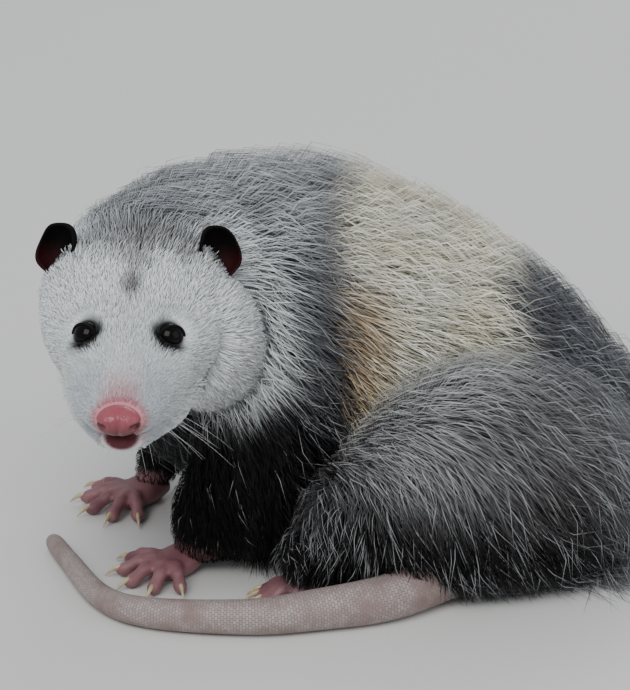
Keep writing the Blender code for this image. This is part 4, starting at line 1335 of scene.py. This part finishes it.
rng = np.random.default_rng(7)
bristles = []
for side in (1, -1):
    for row in range(4):
        for place_in_row in range(3):
            ahead = 38 - place_in_row * 5 + rng.uniform(-1, 1)
            root = mirrored((10.5 + place_in_row * 2.2, ahead, -15 - row * 3.2), side)
            way = mirrored((1, rng.uniform(-0.5, 0.2), rng.uniform(-0.35, 0.25) - row * 0.12), side)
            bristles.append(whisker(root, way, rng.uniform(18, 36), rng.uniform(3, 16)))
    for k in range(3):
        root = mirrored((15 + k * 2, -3, 8.5), side)
        bristles.append(whisker(root, mirrored((0.3 * k, 0.4, 1), side), rng.uniform(16, 24), 4, 0.11))
    for k in range(3):
        root = mirrored((3 + k * 3, 30 - k * 5, -39), side)
        bristles.append(whisker(root, mirrored((0.2, 0.1, -1), side), rng.uniform(12, 20), 1, 0.11))
select_only(*bristles)
bpy.ops.object.join()
whiskers = bpy.context.object
whiskers.name = "whiskers"
recalculate(whiskers)
whiskers.data.materials.append(bristle)
bpy.ops.object.shade_smooth()
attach(whiskers, "root")

# The studio: a plain pale floor, a soft overcast light and the camera at the photo's angle.
bpy.ops.mesh.primitive_plane_add(size=20.0)
floor = bpy.context.object
floor.name = "floor"
ground, shader = new_material("matt pale card of the floor", 0.9)
shader.inputs["Base Color"].default_value = rgba("#d9d8d5")
floor.data.materials.append(ground)

world = bpy.data.worlds.new("soft room light")
world.use_nodes = True
world.node_tree.nodes["Background"].inputs["Color"].default_value = rgba("#dfe5ea")
world.node_tree.nodes["Background"].inputs["Strength"].default_value = 0.68
bpy.context.scene.world = world
# Soft panels: place and width in metres, power in watts.
PANELS = {
    "key": ((-0.5, -1.2, 1.5), 1.2, 24.0),
    "fill": ((1.4, -0.7, 0.9), 1.4, 6.0),
    "rim": ((0.4, 1.4, 1.3), 1.0, 9.0),
}
for name, (at, size, power) in PANELS.items():
    light = bpy.data.lights.new(name, "AREA")
    light.size = size
    light.energy = power
    lamp = bpy.data.objects.new(name, light)
    lamp.location = at
    toward = Vector((0, 0, 0.09)) - Vector(at)
    lamp.rotation_euler = toward.to_track_quat("-Z", "Y").to_euler()
    bpy.context.scene.collection.objects.link(lamp)

# The camera stands 1.9 m off, a little above the animal.
CAMERA_RISE = math.radians(24.0)
CAMERA_AWAY = 1900.0
CAMERA_LENS = 217.8
camera = bpy.data.objects.new("camera", bpy.data.cameras.new("camera"))
camera.data.sensor_width = 36.0
camera.data.lens = CAMERA_LENS
aim = np.array((0.0, 0.0, 85.0))
off = np.array((0.0, -math.cos(CAMERA_RISE), math.sin(CAMERA_RISE))) * CAMERA_AWAY
camera.location = (aim + off) * MM + SHIFT
camera.rotation_euler = (math.pi / 2 - CAMERA_RISE, 0.0, 0.0)
bpy.context.scene.collection.objects.link(camera)
bpy.context.scene.camera = camera
